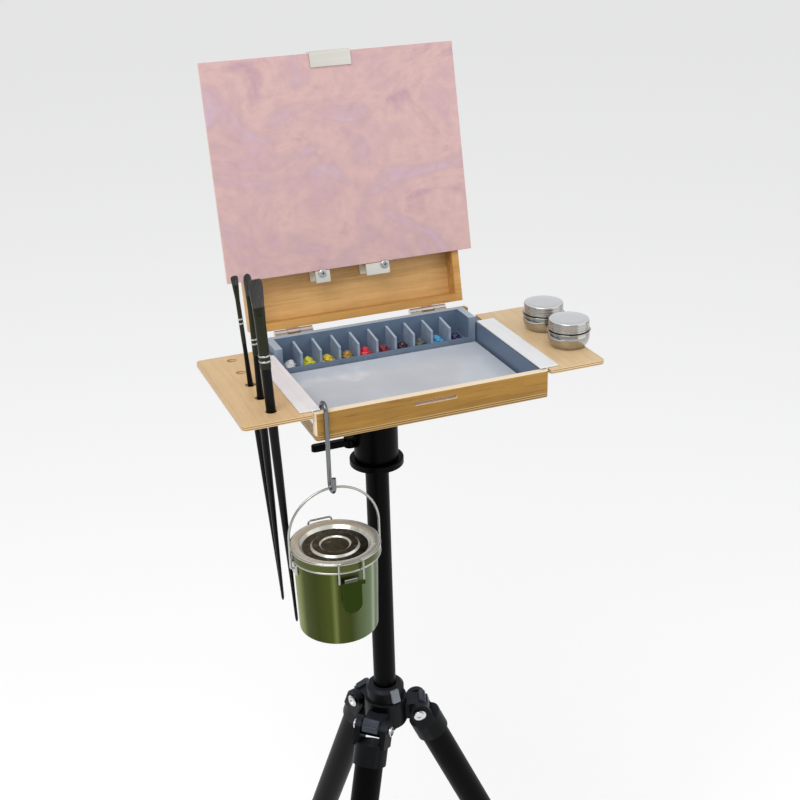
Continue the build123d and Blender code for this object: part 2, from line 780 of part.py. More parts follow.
with BuildPart() as spider:
    with BuildSketch(Plane.XY.offset(spider_top - hub_height)):
        with Locations((head_x, head_y)):
            Circle(hub_radius)
    extrude(amount=hub_height)
    for angle in leg_angles:
        turn = radians(angle)
        arm_plane = Plane(origin=(head_x, head_y, pivot_z), x_dir=(cos(turn), sin(turn), 0),
                          z_dir=(-sin(turn), cos(turn), 0))
        with BuildSketch(arm_plane.offset(-arm_width / 2)):
            with Locations((pivot_radius / 2 + 6, 0)):
                Rectangle(pivot_radius - 12, 2 * arm_radius)
            with Locations((pivot_radius, 0)):
                Circle(arm_radius)
        extrude(amount=arm_width)
    with BuildSketch(Plane.XY.offset(spider_top - hub_height - 20)):
        with Locations((head_x, head_y)):
            Circle(sliding_radius)
    extrude(amount=hub_height + 40, mode=Mode.SUBTRACT)
    for angle in leg_angles:
        turn = radians(angle)
        pivot = (head_x + pivot_radius * cos(turn), head_y + pivot_radius * sin(turn), pivot_z)
        side_dir = Vector(-sin(turn), cos(turn), 0)
        with BuildSketch(Plane(origin=Vector(*pivot) - side_dir * arm_width, z_dir=side_dir)):
            Circle(axle_radius)
        extrude(amount=2 * arm_width, mode=Mode.SUBTRACT)

fork_half = arm_width / 2 + ear_gap + ear_thickness
with BuildPart() as leg_axles:
    for angle in leg_angles:
        turn = radians(angle)
        pivot = Vector(head_x + pivot_radius * cos(turn), head_y + pivot_radius * sin(turn), pivot_z)
        side_dir = Vector(-sin(turn), cos(turn), 0)
        reach = fork_half + 0.3
        with BuildSketch(Plane(origin=pivot - side_dir * reach, z_dir=side_dir)):
            Circle(axle_radius)
        extrude(amount=2 * reach)
        for sign in (-1, 1):
            with BuildSketch(Plane(origin=pivot + side_dir * sign * reach, z_dir=side_dir * sign)):
                Circle(axle_head_radius)
            extrude(amount=axle_head)


def leg_casting(angle):
    """A fork over the spider's arm, turning into a round socket for the tube."""
    frame = leg_frame(angle)
    with BuildPart(frame) as casting:
        side_plane = Plane(origin=frame.origin - frame.x_dir * fork_half,
                           x_dir=frame.y_dir, z_dir=frame.x_dir)
        with BuildSketch(side_plane):
            Circle(arm_radius + 1.5)
            with Locations((0, (casting_top + 4) / 2)):
                Rectangle(2 * arm_radius + 3, casting_top + 4)
        extrude(amount=ear_thickness)
        other_side = Plane(origin=frame.origin + frame.x_dir * (fork_half - ear_thickness),
                           x_dir=frame.y_dir, z_dir=frame.x_dir)
        with BuildSketch(other_side):
            Circle(arm_radius + 1.5)
            with Locations((0, (casting_top + 4) / 2)):
                Rectangle(2 * arm_radius + 3, casting_top + 4)
        extrude(amount=ear_thickness)
        with BuildSketch(frame.offset(casting_top)):
            Circle(casting_radius + 1.3)
        extrude(amount=casting_length - casting_top)
        with BuildSketch(Plane(origin=frame.origin - frame.x_dir * 40, z_dir=frame.x_dir)):
            Circle(axle_radius + axle_clearance)
        extrude(amount=80, mode=Mode.SUBTRACT)
    return casting


def leg_tube(angle, start, end, radius, wall):
    """A round tube down the leg between two distances from the pivot."""
    with BuildPart() as tube:
        with BuildSketch(leg_frame(angle).offset(start)):
            Circle(radius)
            Circle(radius - wall, mode=Mode.SUBTRACT)
        extrude(amount=end - start)
    return tube


def leg_lock(angle):
    """The ribbed collar that is turned to free the lower tube."""
    with BuildPart() as lock:
        with BuildSketch(leg_frame(angle).offset(upper_length + 0.3)):
            Circle(lock_radius)
            with PolarLocations(lock_radius, 20):
                Circle(0.9, mode=Mode.SUBTRACT)
            Circle(lower_radius + 0.35, mode=Mode.SUBTRACT)
        extrude(amount=lock_length)
    return lock


def leg_foot(angle):
    """A rubber foot: a short cylinder with a domed end."""
    frame = leg_frame(angle)
    tip = leg_length
    with BuildPart() as foot:
        with BuildSketch(Plane(origin=frame.origin, x_dir=frame.x_dir, z_dir=frame.y_dir * -1)):
            with BuildLine():
                start = tip - foot_length
                Polyline((lower_radius, tip - foot_length), (0, tip - foot_length))
                Line((0, start), (0, tip))
                ThreePointArc((0, tip), (foot_radius * 0.72, tip - foot_radius * 0.3),
                              (foot_radius, tip - foot_radius))
                Line((foot_radius, tip - foot_radius), (lower_radius, start))
            make_face()
        revolve(axis=Axis(frame.origin, frame.z_dir))
    return foot


legs = {}
for number, angle in enumerate(leg_angles, start=1):
    lower_start = upper_length - lower_overlap
    legs[f"leg_{number}_casting"] = leg_casting(angle)
    legs[f"leg_{number}_upper"] = leg_tube(angle, casting_length, upper_length, upper_radius, upper_wall)
    legs[f"leg_{number}_lock"] = leg_lock(angle)
    lower_end = leg_length - foot_length
    legs[f"leg_{number}_lower"] = leg_tube(angle, lower_start, lower_end, lower_radius, lower_wall)
    legs[f"leg_{number}_foot"] = leg_foot(angle)

pieces = {
    "box_bottom": box_bottom, "box_front": box_front, "box_rear": box_rear, "box_sides": box_sides,
    "palette_glass": palette_glass, "paint_tray": paint_tray, "tray_dividers": tray_dividers,
    "paint_dabs": paint_dabs, "wing_channels": wing_channels, "wing_left": wing_left,
    "wing_right": wing_right, "cup_front": cup_front, "cup_rear": cup_rear,
    "cup_front_lid": cup_front_lid, "cup_rear_lid": cup_rear_lid, "lid_back": lid_back,
    "lid_rails": lid_rails, "mast_guide": mast_guide, "mast": mast, "top_clip": top_clip,
    "ledge_clips": ledge_clips, "ledge_screws": ledge_screws, "canvas_panel": canvas_panel,
    "box_hinges": box_hinges, "lid_hinges": lid_hinges,
    "brush_1": brush_1, "brush_2": brush_2, "brush_3": brush_3, "can_hook": can_hook,
    "can_body": can_body, "can_lid": can_lid, "can_fittings": can_fittings, "can_bail": can_bail,
    "can_strainer": can_strainer, "latch_front": latch_front, "latch_back": latch_back,
    "mount_plate": mount_plate,
    "head_clamp": head_clamp, "head_body": head_body, "head_lever": head_lever, "platform": platform,
    "column": column, "lock_collar": lock_collar, "spider": spider,
    "leg_axles": leg_axles, **legs,
}

# The whole easel stands on the floor, with the origin under the middle of its footprint
whole = Compound(children=[piece.part.moved(Location()) for piece in pieces.values()]).bounding_box()
stand = Location((-whole.center().X, -whole.center().Y, -whole.min.Z))

os.makedirs("parts", exist_ok=True)
for name, piece in pieces.items():
    piece.part = piece.part.moved(stand)
    piece.part.label = name
    export_step(piece.part, f"parts/{name}.step")
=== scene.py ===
import json
from math import atan2, cos, pi, radians, sin, sqrt

import bmesh
import bpy
from mathutils import Matrix, Vector, noise

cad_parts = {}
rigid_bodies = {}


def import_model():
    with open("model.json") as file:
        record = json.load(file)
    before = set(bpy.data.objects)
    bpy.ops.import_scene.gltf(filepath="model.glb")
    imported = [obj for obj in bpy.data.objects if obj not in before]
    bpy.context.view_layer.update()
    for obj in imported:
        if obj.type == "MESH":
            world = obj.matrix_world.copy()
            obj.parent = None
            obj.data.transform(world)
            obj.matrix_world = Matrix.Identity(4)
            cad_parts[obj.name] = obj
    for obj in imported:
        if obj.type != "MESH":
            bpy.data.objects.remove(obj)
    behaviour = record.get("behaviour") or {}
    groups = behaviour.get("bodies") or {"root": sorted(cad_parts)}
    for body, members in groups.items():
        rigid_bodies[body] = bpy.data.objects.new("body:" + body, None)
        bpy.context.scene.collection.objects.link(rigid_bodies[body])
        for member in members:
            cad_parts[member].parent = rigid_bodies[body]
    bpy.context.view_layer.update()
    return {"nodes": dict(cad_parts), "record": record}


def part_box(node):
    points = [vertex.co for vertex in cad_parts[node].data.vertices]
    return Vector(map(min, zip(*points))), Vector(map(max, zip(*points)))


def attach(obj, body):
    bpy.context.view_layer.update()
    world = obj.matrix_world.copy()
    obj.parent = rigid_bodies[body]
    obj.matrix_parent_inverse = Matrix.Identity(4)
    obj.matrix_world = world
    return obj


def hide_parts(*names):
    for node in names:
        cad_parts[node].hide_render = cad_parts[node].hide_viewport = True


for leftover in list(bpy.data.objects):
    bpy.data.objects.remove(leftover)

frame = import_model()

# The box's own corner: middle of the bottom board's front edge. Most sizes below count from here.
bottomLow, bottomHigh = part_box("box_bottom")
boxHome = Vector(((bottomLow.x + bottomHigh.x) / 2, bottomLow.y, bottomLow.z))

# The lid leans back: its front direction comes from the panel's widest face
widest = max(frame["nodes"]["canvas_panel"].data.polygons, key=lambda face: face.area)
lidOut = widest.normal.copy() if widest.normal.y < 0 else -widest.normal
lidLean = atan2(lidOut.z, -lidOut.y)


def at(x, y, z):
    # a place in millimetres from the box's corner
    return boxHome + Vector((x, y, z)) * 0.001


def middleOf(node):
    low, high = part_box(node)
    return (low + high) / 2


# ---- small mesh helpers

def newObject(name, mesh):
    made = bpy.data.objects.new(name, mesh)
    bpy.context.scene.collection.objects.link(made)
    return made


def meshFrom(name, points, faces, smooth=True):
    mesh = bpy.data.meshes.new(name)
    mesh.from_pydata([tuple(p) for p in points], [], faces)
    bm = bmesh.new()
    bm.from_mesh(mesh)
    bmesh.ops.remove_doubles(bm, verts=bm.verts, dist=1e-7)
    bmesh.ops.recalc_face_normals(bm, faces=bm.faces)
    bm.to_mesh(mesh)
    bm.free()
    mesh.polygons.foreach_set("use_smooth", [smooth] * len(mesh.polygons))
    return mesh


def basis(origin, zDir, xHint=(1, 0, 0)):
    # a matrix whose z runs along zDir
    z = Vector(zDir).normalized()
    x = Vector(xHint)
    x = (x - z * x.dot(z))
    if x.length < 1e-4:
        x = Vector((0, 1, 0)) - z * z.y
    x.normalize()
    y = z.cross(x)
    m = Matrix((x, y, z)).transposed().to_4x4()
    m.translation = origin
    return m


def ringFaces(rows, steps):
    # four-sided faces between rings of points that follow one another
    faces = []
    for row in range(rows - 1):
        for step in range(steps):
            after = (step + 1) % steps
            below, above = row * steps, (row + 1) * steps
            faces.append((below + step, below + after, above + after, above + step))
    return faces


def lathe(name, profile, place, steps=96, smoothAngle=32):
    # turns (radius, height) points, in metres, about the place's z axis
    points, faces = [], []
    count = len(profile)
    for i in range(steps):
        a = 2 * pi * i / steps
        for r, h in profile:
            points.append(place @ Vector((r * cos(a), r * sin(a), h)))
    for i in range(steps):
        j = (i + 1) % steps
        for k in range(count - 1):
            faces.append((i * count + k, j * count + k, j * count + k + 1, i * count + k + 1))
    mesh = meshFrom(name, points, faces)
    cleanFaces(mesh)
    shadeByAngle(mesh, smoothAngle)
    return newObject(name, mesh)


def cleanFaces(mesh):
    bm = bmesh.new()
    bm.from_mesh(mesh)
    bmesh.ops.dissolve_degenerate(bm, dist=1e-7, edges=bm.edges)
    bmesh.ops.recalc_face_normals(bm, faces=bm.faces)
    bm.to_mesh(mesh)
    bm.free()


def shadeByAngle(mesh, degrees):
    # smooth everywhere except over edges sharper than the angle
    bm = bmesh.new()
    bm.from_mesh(mesh)
    limit = radians(degrees)
    for edge in bm.edges:
        edge.smooth = len(edge.link_faces) == 2 and edge.calc_face_angle(0) < limit
    for face in bm.faces:
        face.smooth = True
    bm.to_mesh(mesh)
    bm.free()


def boxMesh(name, size, place, bevel=0.0, segments=2):
    bm = bmesh.new()
    bmesh.ops.create_cube(bm, size=1)
    bmesh.ops.scale(bm, vec=size, verts=bm.verts)
    if bevel:
        bmesh.ops.bevel(bm, geom=bm.edges[:], offset=bevel, segments=segments, affect="EDGES", profile=0.5)
    bm.transform(place)
    mesh = bpy.data.meshes.new(name)
    bm.to_mesh(mesh)
    bm.free()
    shadeByAngle(mesh, 30)
    return mesh


def joined(name, meshes):
    # one object from several meshes, keeping each mesh's materials
    bm = bmesh.new()
    slots = []
    for mesh in meshes:
        lookup = []
        for material in mesh.materials:
            if material not in slots:
                slots.append(material)
            lookup.append(slots.index(material))
        start = len(bm.faces)
        bm.from_mesh(mesh)
        bm.faces.ensure_lookup_table()
        for face in bm.faces[start:]:
            face.material_index = lookup[min(face.material_index, len(lookup) - 1)] if lookup else 0
    whole = bpy.data.meshes.new(name)
    bm.to_mesh(whole)
    bm.free()
    for material in slots:
        whole.materials.append(material)
    return newObject(name, whole)


def finishedMesh(piece):
    # the piece as its modifiers leave it, as a plain mesh
    graph = bpy.context.evaluated_depsgraph_get()
    result = bpy.data.meshes.new_from_object(piece.evaluated_get(graph))
    return result


def withModifiersApplied(piece):
    result = finishedMesh(piece)
    piece.modifiers.clear()
    piece.data = result
    return piece


def place(piece, body, slotName, *nodes):
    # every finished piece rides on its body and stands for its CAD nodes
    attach(piece, body)
    if nodes:
        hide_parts(*nodes)
    return piece


def merged(mesh, flatness=1.5):
    # joins the loose triangles of a copied CAD mesh and drops the lines across flat faces
    bm = bmesh.new()
    bm.from_mesh(mesh)
    bmesh.ops.remove_doubles(bm, verts=bm.verts, dist=1e-6)
    bmesh.ops.dissolve_limit(bm, angle_limit=radians(flatness), verts=bm.verts, edges=bm.edges)
    bm.to_mesh(mesh)
    bm.free()
    return mesh


def eased(piece, width, segments=2, angle=35):
    # rounds the sharp edges and keeps the flat faces flat in the light
    if width:
        bevel = piece.modifiers.new("easedEdges", "BEVEL")
        bevel.width = width
        bevel.segments = segments
        bevel.limit_method = "ANGLE"
        bevel.angle_limit = radians(angle)
        withModifiersApplied(piece)
    shadeByAngle(piece.data, 50)
    weighted = piece.modifiers.new("evenNormals", "WEIGHTED_NORMAL")
    weighted.keep_sharp = True
    return withModifiersApplied(piece)


def homeOf(node):
    # the body and the material slot that a CAD node has
    slotName = next(s["material_slot"] for s in frame["record"]["subparts"] if s["node"] == node)
    body = next(b for b, nodes in frame["record"]["behaviour"]["bodies"].items() if node in nodes)
    return body, slotName


def softened(node, material, width=0.0004, segments=2, angle=35):
    # stands for a CAD node: the same shape with its edges eased
    mesh = merged(frame["nodes"][node].data.copy())
    mesh.materials.clear()
    mesh.materials.append(material)
    piece = eased(newObject(node + "_finished", mesh), width, segments, angle)
    return place(piece, *homeOf(node), node)


# ---- shader groups that several finishes share

def groupTree(name, inputs, outputs):
    tree = bpy.data.node_groups.new(name, "ShaderNodeTree")
    for label, kind, value in inputs:
        socket = tree.interface.new_socket(label, in_out="INPUT", socket_type=kind)
        if value is not None:
            socket.default_value = value
    for label, kind in outputs:
        tree.interface.new_socket(label, in_out="OUTPUT", socket_type=kind)
    return tree, tree.nodes.new("NodeGroupInput"), tree.nodes.new("NodeGroupOutput")


def addNode(tree, kind, **settings):
    node = tree.nodes.new(kind)
    for key, value in settings.items():
        setattr(node, key, value)
    return node


def fed(tree, kind, source, **values):
    # a node with its first socket linked and others set
    node = tree.nodes.new("ShaderNode" + kind)
    tree.links.new(source, node.inputs[0])
    for key, value in values.items():
        node.inputs[key].default_value = value
    return node


def mathNode(tree, operation, a, b=None, c=None, clamp=False):
    node = addNode(tree, "ShaderNodeMath", operation=operation, use_clamp=clamp)
    for index, value in enumerate((a, b, c)):
        if value is None:
            continue
        if isinstance(value, (int, float)):
            node.inputs[index].default_value = value
        else:
            tree.links.new(value, node.inputs[index])
    return node.outputs[0]


def mixColour(tree, factor, a, b, blend="MIX"):
    node = addNode(tree, "ShaderNodeMix", data_type="RGBA", blend_type=blend)
    for index, value in ((0, factor), (6, a), (7, b)):
        if isinstance(value, (int, float)):
            node.inputs[index].default_value = value
        elif isinstance(value, tuple):
            node.inputs[index].default_value = value
        else:
            tree.links.new(value, node.inputs[index])
    return node.outputs[2]


def ramp(tree, factor, stops):
    node = addNode(tree, "ShaderNodeValToRGB")
    elements = node.color_ramp.elements
    while len(elements) < len(stops):
        elements.new(0.5)
    for element, (where, colour) in zip(elements, stops):
        element.position = where
        element.color = colour if len(colour) == 4 else (*colour, 1)
    tree.links.new(factor, node.inputs[0])
    return node.outputs[0]


def grainGroup():
    # long wood grain: wide growth bands, fine pores and a faint cloudiness, along X, Y or Z by stretch
    tree, source, result = groupTree(
        "WoodGrain",
        [("Stretch", "NodeSocketVector", (6.0, 160.0, 160.0)),
         ("Offset", "NodeSocketVector", (0.0, 0.0, 0.0)),
         ("Band Contrast", "NodeSocketFloat", 0.5), ("Pore Contrast", "NodeSocketFloat", 0.5),
         ("Light", "NodeSocketColor", (0.7, 0.5, 0.28, 1)),
         ("Dark", "NodeSocketColor", (0.45, 0.28, 0.13, 1))],
        [("Color", "NodeSocketColor"), ("Roughness", "NodeSocketFloat"), ("Height", "NodeSocketFloat")])
    coords = addNode(tree, "ShaderNodeTexCoord")
    mapping = fed(tree, "Mapping", coords.outputs["Object"])
    tree.links.new(source.outputs["Stretch"], mapping.inputs["Scale"])
    tree.links.new(source.outputs["Offset"], mapping.inputs["Location"])
    warp = fed(tree, "TexNoise", mapping.outputs[0], Scale=0.55, Detail=3)
    shift = addNode(tree, "ShaderNodeVectorMath", operation="SCALE")
    shift.inputs["Scale"].default_value = 1.6
    tree.links.new(warp.outputs["Color"], shift.inputs[0])
    bent = addNode(tree, "ShaderNodeVectorMath", operation="ADD")
    tree.links.new(mapping.outputs[0], bent.inputs[0])
    tree.links.new(shift.outputs[0], bent.inputs[1])
    bands = fed(tree, "TexNoise", bent.outputs[0], Scale=1.0, Detail=5, Roughness=0.62)
    pores = fed(tree, "TexNoise", mapping.outputs[0], Scale=5.5, Detail=3)
    bandValue = ramp(tree, bands.outputs["Fac"],
                     [(0.32, (0, 0, 0)), (0.5, (0.45, 0.45, 0.45)), (0.72, (1, 1, 1))])
    poreValue = ramp(tree, pores.outputs["Fac"], [(0.30, (1, 1, 1)), (0.42, (0, 0, 0))])
    bandPart = mathNode(tree, "MULTIPLY", bandValue, source.outputs["Band Contrast"])
    porePart = mathNode(tree, "MULTIPLY", poreValue, source.outputs["Pore Contrast"])
    both = mathNode(tree, "ADD", bandPart, porePart, clamp=True)
    colour = mixColour(tree, both, source.outputs["Light"], source.outputs["Dark"])
    tree.links.new(colour, result.inputs["Color"])
    rough = mathNode(tree, "MULTIPLY_ADD", both, 0.12, 0.34)
    tree.links.new(rough, result.inputs["Roughness"])
    height = mathNode(tree, "SUBTRACT", 1.0, porePart)
    tree.links.new(height, result.inputs["Height"])
    return tree


def wearGroup():
    # a mask that is white on worn outer edges and has soft patches over the faces
    tree, source, result = groupTree(
        "EdgeWear",
        [("Amount", "NodeSocketFloat", 0.5), ("Patch Scale", "NodeSocketFloat", 60.0)],
        [("Edge", "NodeSocketFloat"), ("Patches", "NodeSocketFloat")])
    geometry = addNode(tree, "ShaderNodeNewGeometry")
    coords = addNode(tree, "ShaderNodeTexCoord")
    patches = fed(tree, "TexNoise", coords.outputs["Object"], Detail=5)
    tree.links.new(source.outputs["Patch Scale"], patches.inputs["Scale"])
    edge = ramp(tree, geometry.outputs["Pointiness"], [(0.52, (0, 0, 0)), (0.58, (1, 1, 1))])
    broken = mathNode(tree, "MULTIPLY", edge, patches.outputs["Fac"])
    scaled = mathNode(tree, "MULTIPLY", broken, source.outputs["Amount"], clamp=True)
    tree.links.new(scaled, result.inputs["Edge"])
    tree.links.new(patches.outputs["Fac"], result.inputs["Patches"])
    return tree


def weaveGroup():
    # plain weave: threads across a panel and up it, where the panel leans back about X
    tree, source, result = groupTree(
        "Weave",
        [("Lean", "NodeSocketVector", (0.0, 0.0, 0.0)), ("Pitch", "NodeSocketFloat", 0.0011),
         ("Slub", "NodeSocketFloat", 0.4)],
        [("Height", "NodeSocketFloat"), ("Thread", "NodeSocketFloat")])
    coords = addNode(tree, "ShaderNodeTexCoord")
    upright = fed(tree, "Mapping", coords.outputs["Object"])
    tree.links.new(source.outputs["Lean"], upright.inputs["Rotation"])
    split = fed(tree, "SeparateXYZ", upright.outputs[0])
    slub = fed(tree, "TexNoise", upright.outputs[0], Scale=90, Detail=3)
    waves = []
    for axis in ("X", "Z"):
        scaled = mathNode(tree, "DIVIDE", split.outputs[axis], source.outputs["Pitch"])
        wobble = mathNode(tree, "MULTIPLY", slub.outputs["Fac"], source.outputs["Slub"])
        phase = mathNode(tree, "MULTIPLY", mathNode(tree, "ADD", scaled, wobble), 2 * pi)
        waves.append(mathNode(tree, "SINE", phase))
    crossed = mathNode(tree, "MULTIPLY", waves[0], waves[1])
    high = mathNode(tree, "MULTIPLY_ADD", crossed, 0.5, 0.5)
    tree.links.new(high, result.inputs["Height"])
    tree.links.new(slub.outputs["Fac"], result.inputs["Thread"])
    return tree


def brushedGroup():
    # fine lines from polishing, along the direction that the stretch leaves long
    tree, source, result = groupTree(
        "BrushedLines",
        [("Stretch", "NodeSocketVector", (900.0, 900.0, 6.0)), ("Low", "NodeSocketFloat", 0.18),
         ("High", "NodeSocketFloat", 0.36)],
        [("Roughness", "NodeSocketFloat"), ("Lines", "NodeSocketFloat")])
    coords = addNode(tree, "ShaderNodeTexCoord")
    mapping = fed(tree, "Mapping", coords.outputs["Object"])
    tree.links.new(source.outputs["Stretch"], mapping.inputs["Scale"])
    lines = fed(tree, "TexNoise", mapping.outputs[0], Scale=1.0, Detail=4)
    span = addNode(tree, "ShaderNodeMapRange")
    tree.links.new(lines.outputs["Fac"], span.inputs["Value"])
    span.inputs["From Min"].default_value = 0.3
    span.inputs["From Max"].default_value = 0.7
    tree.links.new(source.outputs["Low"], span.inputs["To Min"])
    tree.links.new(source.outputs["High"], span.inputs["To Max"])
    tree.links.new(span.outputs[0], result.inputs["Roughness"])
    tree.links.new(lines.outputs["Fac"], result.inputs["Lines"])
    return tree


grainTree = grainGroup()
wearTree = wearGroup()
weaveTree = weaveGroup()
brushedTree = brushedGroup()
print("shader groups built")


# ---- materials

def newMaterial(name, colour, roughness, metallic=0.0, **extra):
    material = bpy.data.materials.new(name)
    material.use_nodes = True
    tree = material.node_tree
    shader = tree.nodes["Principled BSDF"]
    shader.inputs["Base Color"].default_value = (*colour, 1)
    shader.inputs["Roughness"].default_value = roughness
    shader.inputs["Metallic"].default_value = metallic
    for key, value in extra.items():
        shader.inputs[key.replace("_", " ")].default_value = value
    return material, tree, shader


def useGroup(tree, group, **values):
    node = tree.nodes.new("ShaderNodeGroup")
    node.node_tree = group
    for key, value in values.items():
        node.inputs[key.replace("_", " ")].default_value = value
    return node


def bump(tree, shader, height, strength, distance):
    node = addNode(tree, "ShaderNodeBump")
    node.inputs["Strength"].default_value = strength
    node.inputs["Distance"].default_value = distance
    tree.links.new(height, node.inputs["Height"])
    tree.links.new(node.outputs[0], shader.inputs["Normal"])
    return node


def woodMaterial(name, light, dark, stretch, band=0.55, pore=0.35, offset=(0, 0, 0), coat=0.25, wear=0.35):
    material, tree, shader = newMaterial(name, light, 0.42, Coat_Weight=coat, Coat_Roughness=0.22,
                                         Specular_IOR_Level=0.3)
    grain = useGroup(tree, grainTree, Stretch=stretch, Offset=offset, Band_Contrast=band, Pore_Contrast=pore,
                     Light=(*light, 1), Dark=(*dark, 1))
    worn = useGroup(tree, wearTree, Amount=wear, Patch_Scale=45.0)
    paler = tuple(min(1.0, c * 1.25 + 0.05) for c in light)
    edged = mixColour(tree, worn.outputs["Edge"], grain.outputs["Color"], (*paler, 1))
    cloudy = mixColour(tree, worn.outputs["Patches"], (0.93, 0.93, 0.93, 1), (1.05, 1.05, 1.05, 1))
    tree.links.new(mixColour(tree, 1.0, edged, cloudy, "MULTIPLY"), shader.inputs["Base Color"])
    tree.links.new(grain.outputs["Roughness"], shader.inputs["Roughness"])
    bump(tree, shader, grain.outputs["Height"], 0.25, 0.0002)
    return material


def plyMaterial(name, light, dark, stretch, layerPitch, low, offset=(0, 0, 0), band=0.4):
    # veneer on the faces, and the layers of the ply on the edges
    material = woodMaterial(name, light, dark, stretch, band=band, pore=0.22, offset=offset, wear=0.2)
    tree = material.node_tree
    shader = tree.nodes["Principled BSDF"]
    face = shader.inputs["Base Color"].links[0].from_socket
    coords = addNode(tree, "ShaderNodeTexCoord")
    where = fed(tree, "SeparateXYZ", coords.outputs["Object"])
    normal = fed(tree, "SeparateXYZ", coords.outputs["Normal"])
    steep = mathNode(tree, "LESS_THAN", mathNode(tree, "ABSOLUTE", normal.outputs["Z"]), 0.45)
    level = mathNode(tree, "DIVIDE", mathNode(tree, "SUBTRACT", where.outputs["Z"], low), layerPitch)
    ragged = fed(tree, "TexNoise", coords.outputs["Object"], Scale=160)
    level = mathNode(tree, "ADD", level, mathNode(tree, "MULTIPLY", ragged.outputs["Fac"], 0.22))
    striped = mathNode(tree, "FRACT", mathNode(tree, "MULTIPLY", level, 0.5))
    layer = ramp(tree, striped, [(0.44, (*[c * 1.08 for c in light],)), (0.5, (*[c * 0.62 for c in dark],)),
                                 (0.94, (*[c * 0.8 for c in dark],)), (1.0, (*[c * 1.05 for c in light],))])
    tree.links.new(mixColour(tree, steep, face, layer), shader.inputs["Base Color"])
    return material


def scaled(colour, factor):
    return (*[min(1, c * factor) for c in colour], 1)


def paintMaterial(name, colour, roughness, wear=0.3, bare=(0.5, 0.42, 0.3), **extra):
    material, tree, shader = newMaterial(name, colour, roughness, **extra)
    worn = useGroup(tree, wearTree, Amount=wear, Patch_Scale=70.0)
    shade = mixColour(tree, worn.outputs["Patches"], scaled(colour, 0.9), scaled(colour, 1.1))
    tree.links.new(mixColour(tree, worn.outputs["Edge"], shade, (*bare, 1)), shader.inputs["Base Color"])
    bump(tree, shader, worn.outputs["Patches"], 0.12, 0.0003)
    return material


def metalMaterial(name, colour, low, high, stretch, **extra):
    material, tree, shader = newMaterial(name, colour, low, 1.0, **extra)
    lines = useGroup(tree, brushedTree, Stretch=stretch, Low=low, High=high)
    tree.links.new(lines.outputs["Roughness"], shader.inputs["Roughness"])
    shade = mixColour(tree, lines.outputs["Lines"], scaled(colour, 0.93), scaled(colour, 1.06))
    tree.links.new(shade, shader.inputs["Base Color"])
    bump(tree, shader, lines.outputs["Lines"], 0.06, 0.00008)
    return material


def tint(code):
    # an sRGB colour as written on a paint card, turned to linear light
    values = [int(code[i:i + 2], 16) / 255 for i in (1, 3, 5)]
    return tuple(v / 12.92 if v <= 0.04045 else ((v + 0.055) / 1.055) ** 2.4 for v in values)


alongX = (6, 150, 150)
alongY = (150, 6, 150)

lidWood = woodMaterial("lidWood", tint("#e2b575"), tint("#a87638"), alongX, band=0.7, pore=0.4, coat=0.05)
lidRailWood = woodMaterial("lidRailWood", tint("#d4a25c"), tint("#9c6a30"), alongX, band=0.7, pore=0.4,
                           offset=(3, 0, 0), coat=0.05)
boardWood = woodMaterial("boardWood", tint("#ac8034"), tint("#7a541a"), alongX, band=0.65, pore=0.5,
                         coat=0.05)
wingLeftPly = plyMaterial("wingLeftPly", tint("#dab98a"), tint("#b08c58"), alongY, 0.0011,
                          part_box("wing_left")[0].z)
wingRightPly = plyMaterial("wingRightPly", tint("#dcc096"), tint("#b79562"), alongY, 0.0011,
                           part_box("wing_right")[0].z, offset=(7, 1, 0))
bottomPly = plyMaterial("bottomPly", tint("#b6935a"), tint("#86642f"), alongX, 0.0012, bottomLow.z)
creamWood = tint("#ecdcc0")


def facing(tree, axis, sign, level=0.6):
    # a mask that is 1 where a face looks along an axis
    coords = addNode(tree, "ShaderNodeTexCoord")
    split = fed(tree, "SeparateXYZ", coords.outputs["Normal"])
    along = mathNode(tree, "MULTIPLY", split.outputs[axis], sign)
    return mathNode(tree, "GREATER_THAN", along, level)


def alsoPainted(material, mask, colour):
    # lays a second colour, or a node's colour, over a finish where the mask is 1
    tree = material.node_tree
    shader = tree.nodes["Principled BSDF"]
    under = shader.inputs["Base Color"].links[0].from_socket
    over = (*colour, 1) if isinstance(colour, tuple) else colour
    tree.links.new(mixColour(tree, mask, under, over), shader.inputs["Base Color"])
    return material


def frontBoardMaterial():
    material = boardWood.copy()
    material.name = "frontBoard"
    alsoPainted(material, facing(material.node_tree, "Z", 1), creamWood)
    alsoPainted(material, facing(material.node_tree, "X", -1), creamWood)
    return alsoPainted(material, facing(material.node_tree, "Y", 1), tint("#64758c"))


def sideStripMaterial():
    # bare wood outside, the tray's paint inside
    material = boardWood.copy()
    material.name = "sideStrips"
    tree = material.node_tree
    coords = addNode(tree, "ShaderNodeTexCoord")
    where = fed(tree, "SeparateXYZ", coords.outputs["Object"])
    normal = fed(tree, "SeparateXYZ", coords.outputs["Normal"])
    fromMiddle = mathNode(tree, "SUBTRACT", where.outputs["X"], boxHome.x)
    inward = mathNode(tree, "LESS_THAN", mathNode(tree, "MULTIPLY", fromMiddle, normal.outputs["X"]), -0.01)
    upward = mathNode(tree, "GREATER_THAN", normal.outputs["Z"], 0.6)
    return alsoPainted(material, mathNode(tree, "MAXIMUM", inward, upward), tint("#64758c"))


def bottomMaterial():
    material = bottomPly.copy()
    material.name = "boxBottom"
    # the top face, seen only through the gap round the glass, is painted near black: painted shade in that
    # gap
    return alsoPainted(material, facing(material.node_tree, "Z", 1), tint("#1d2024"))


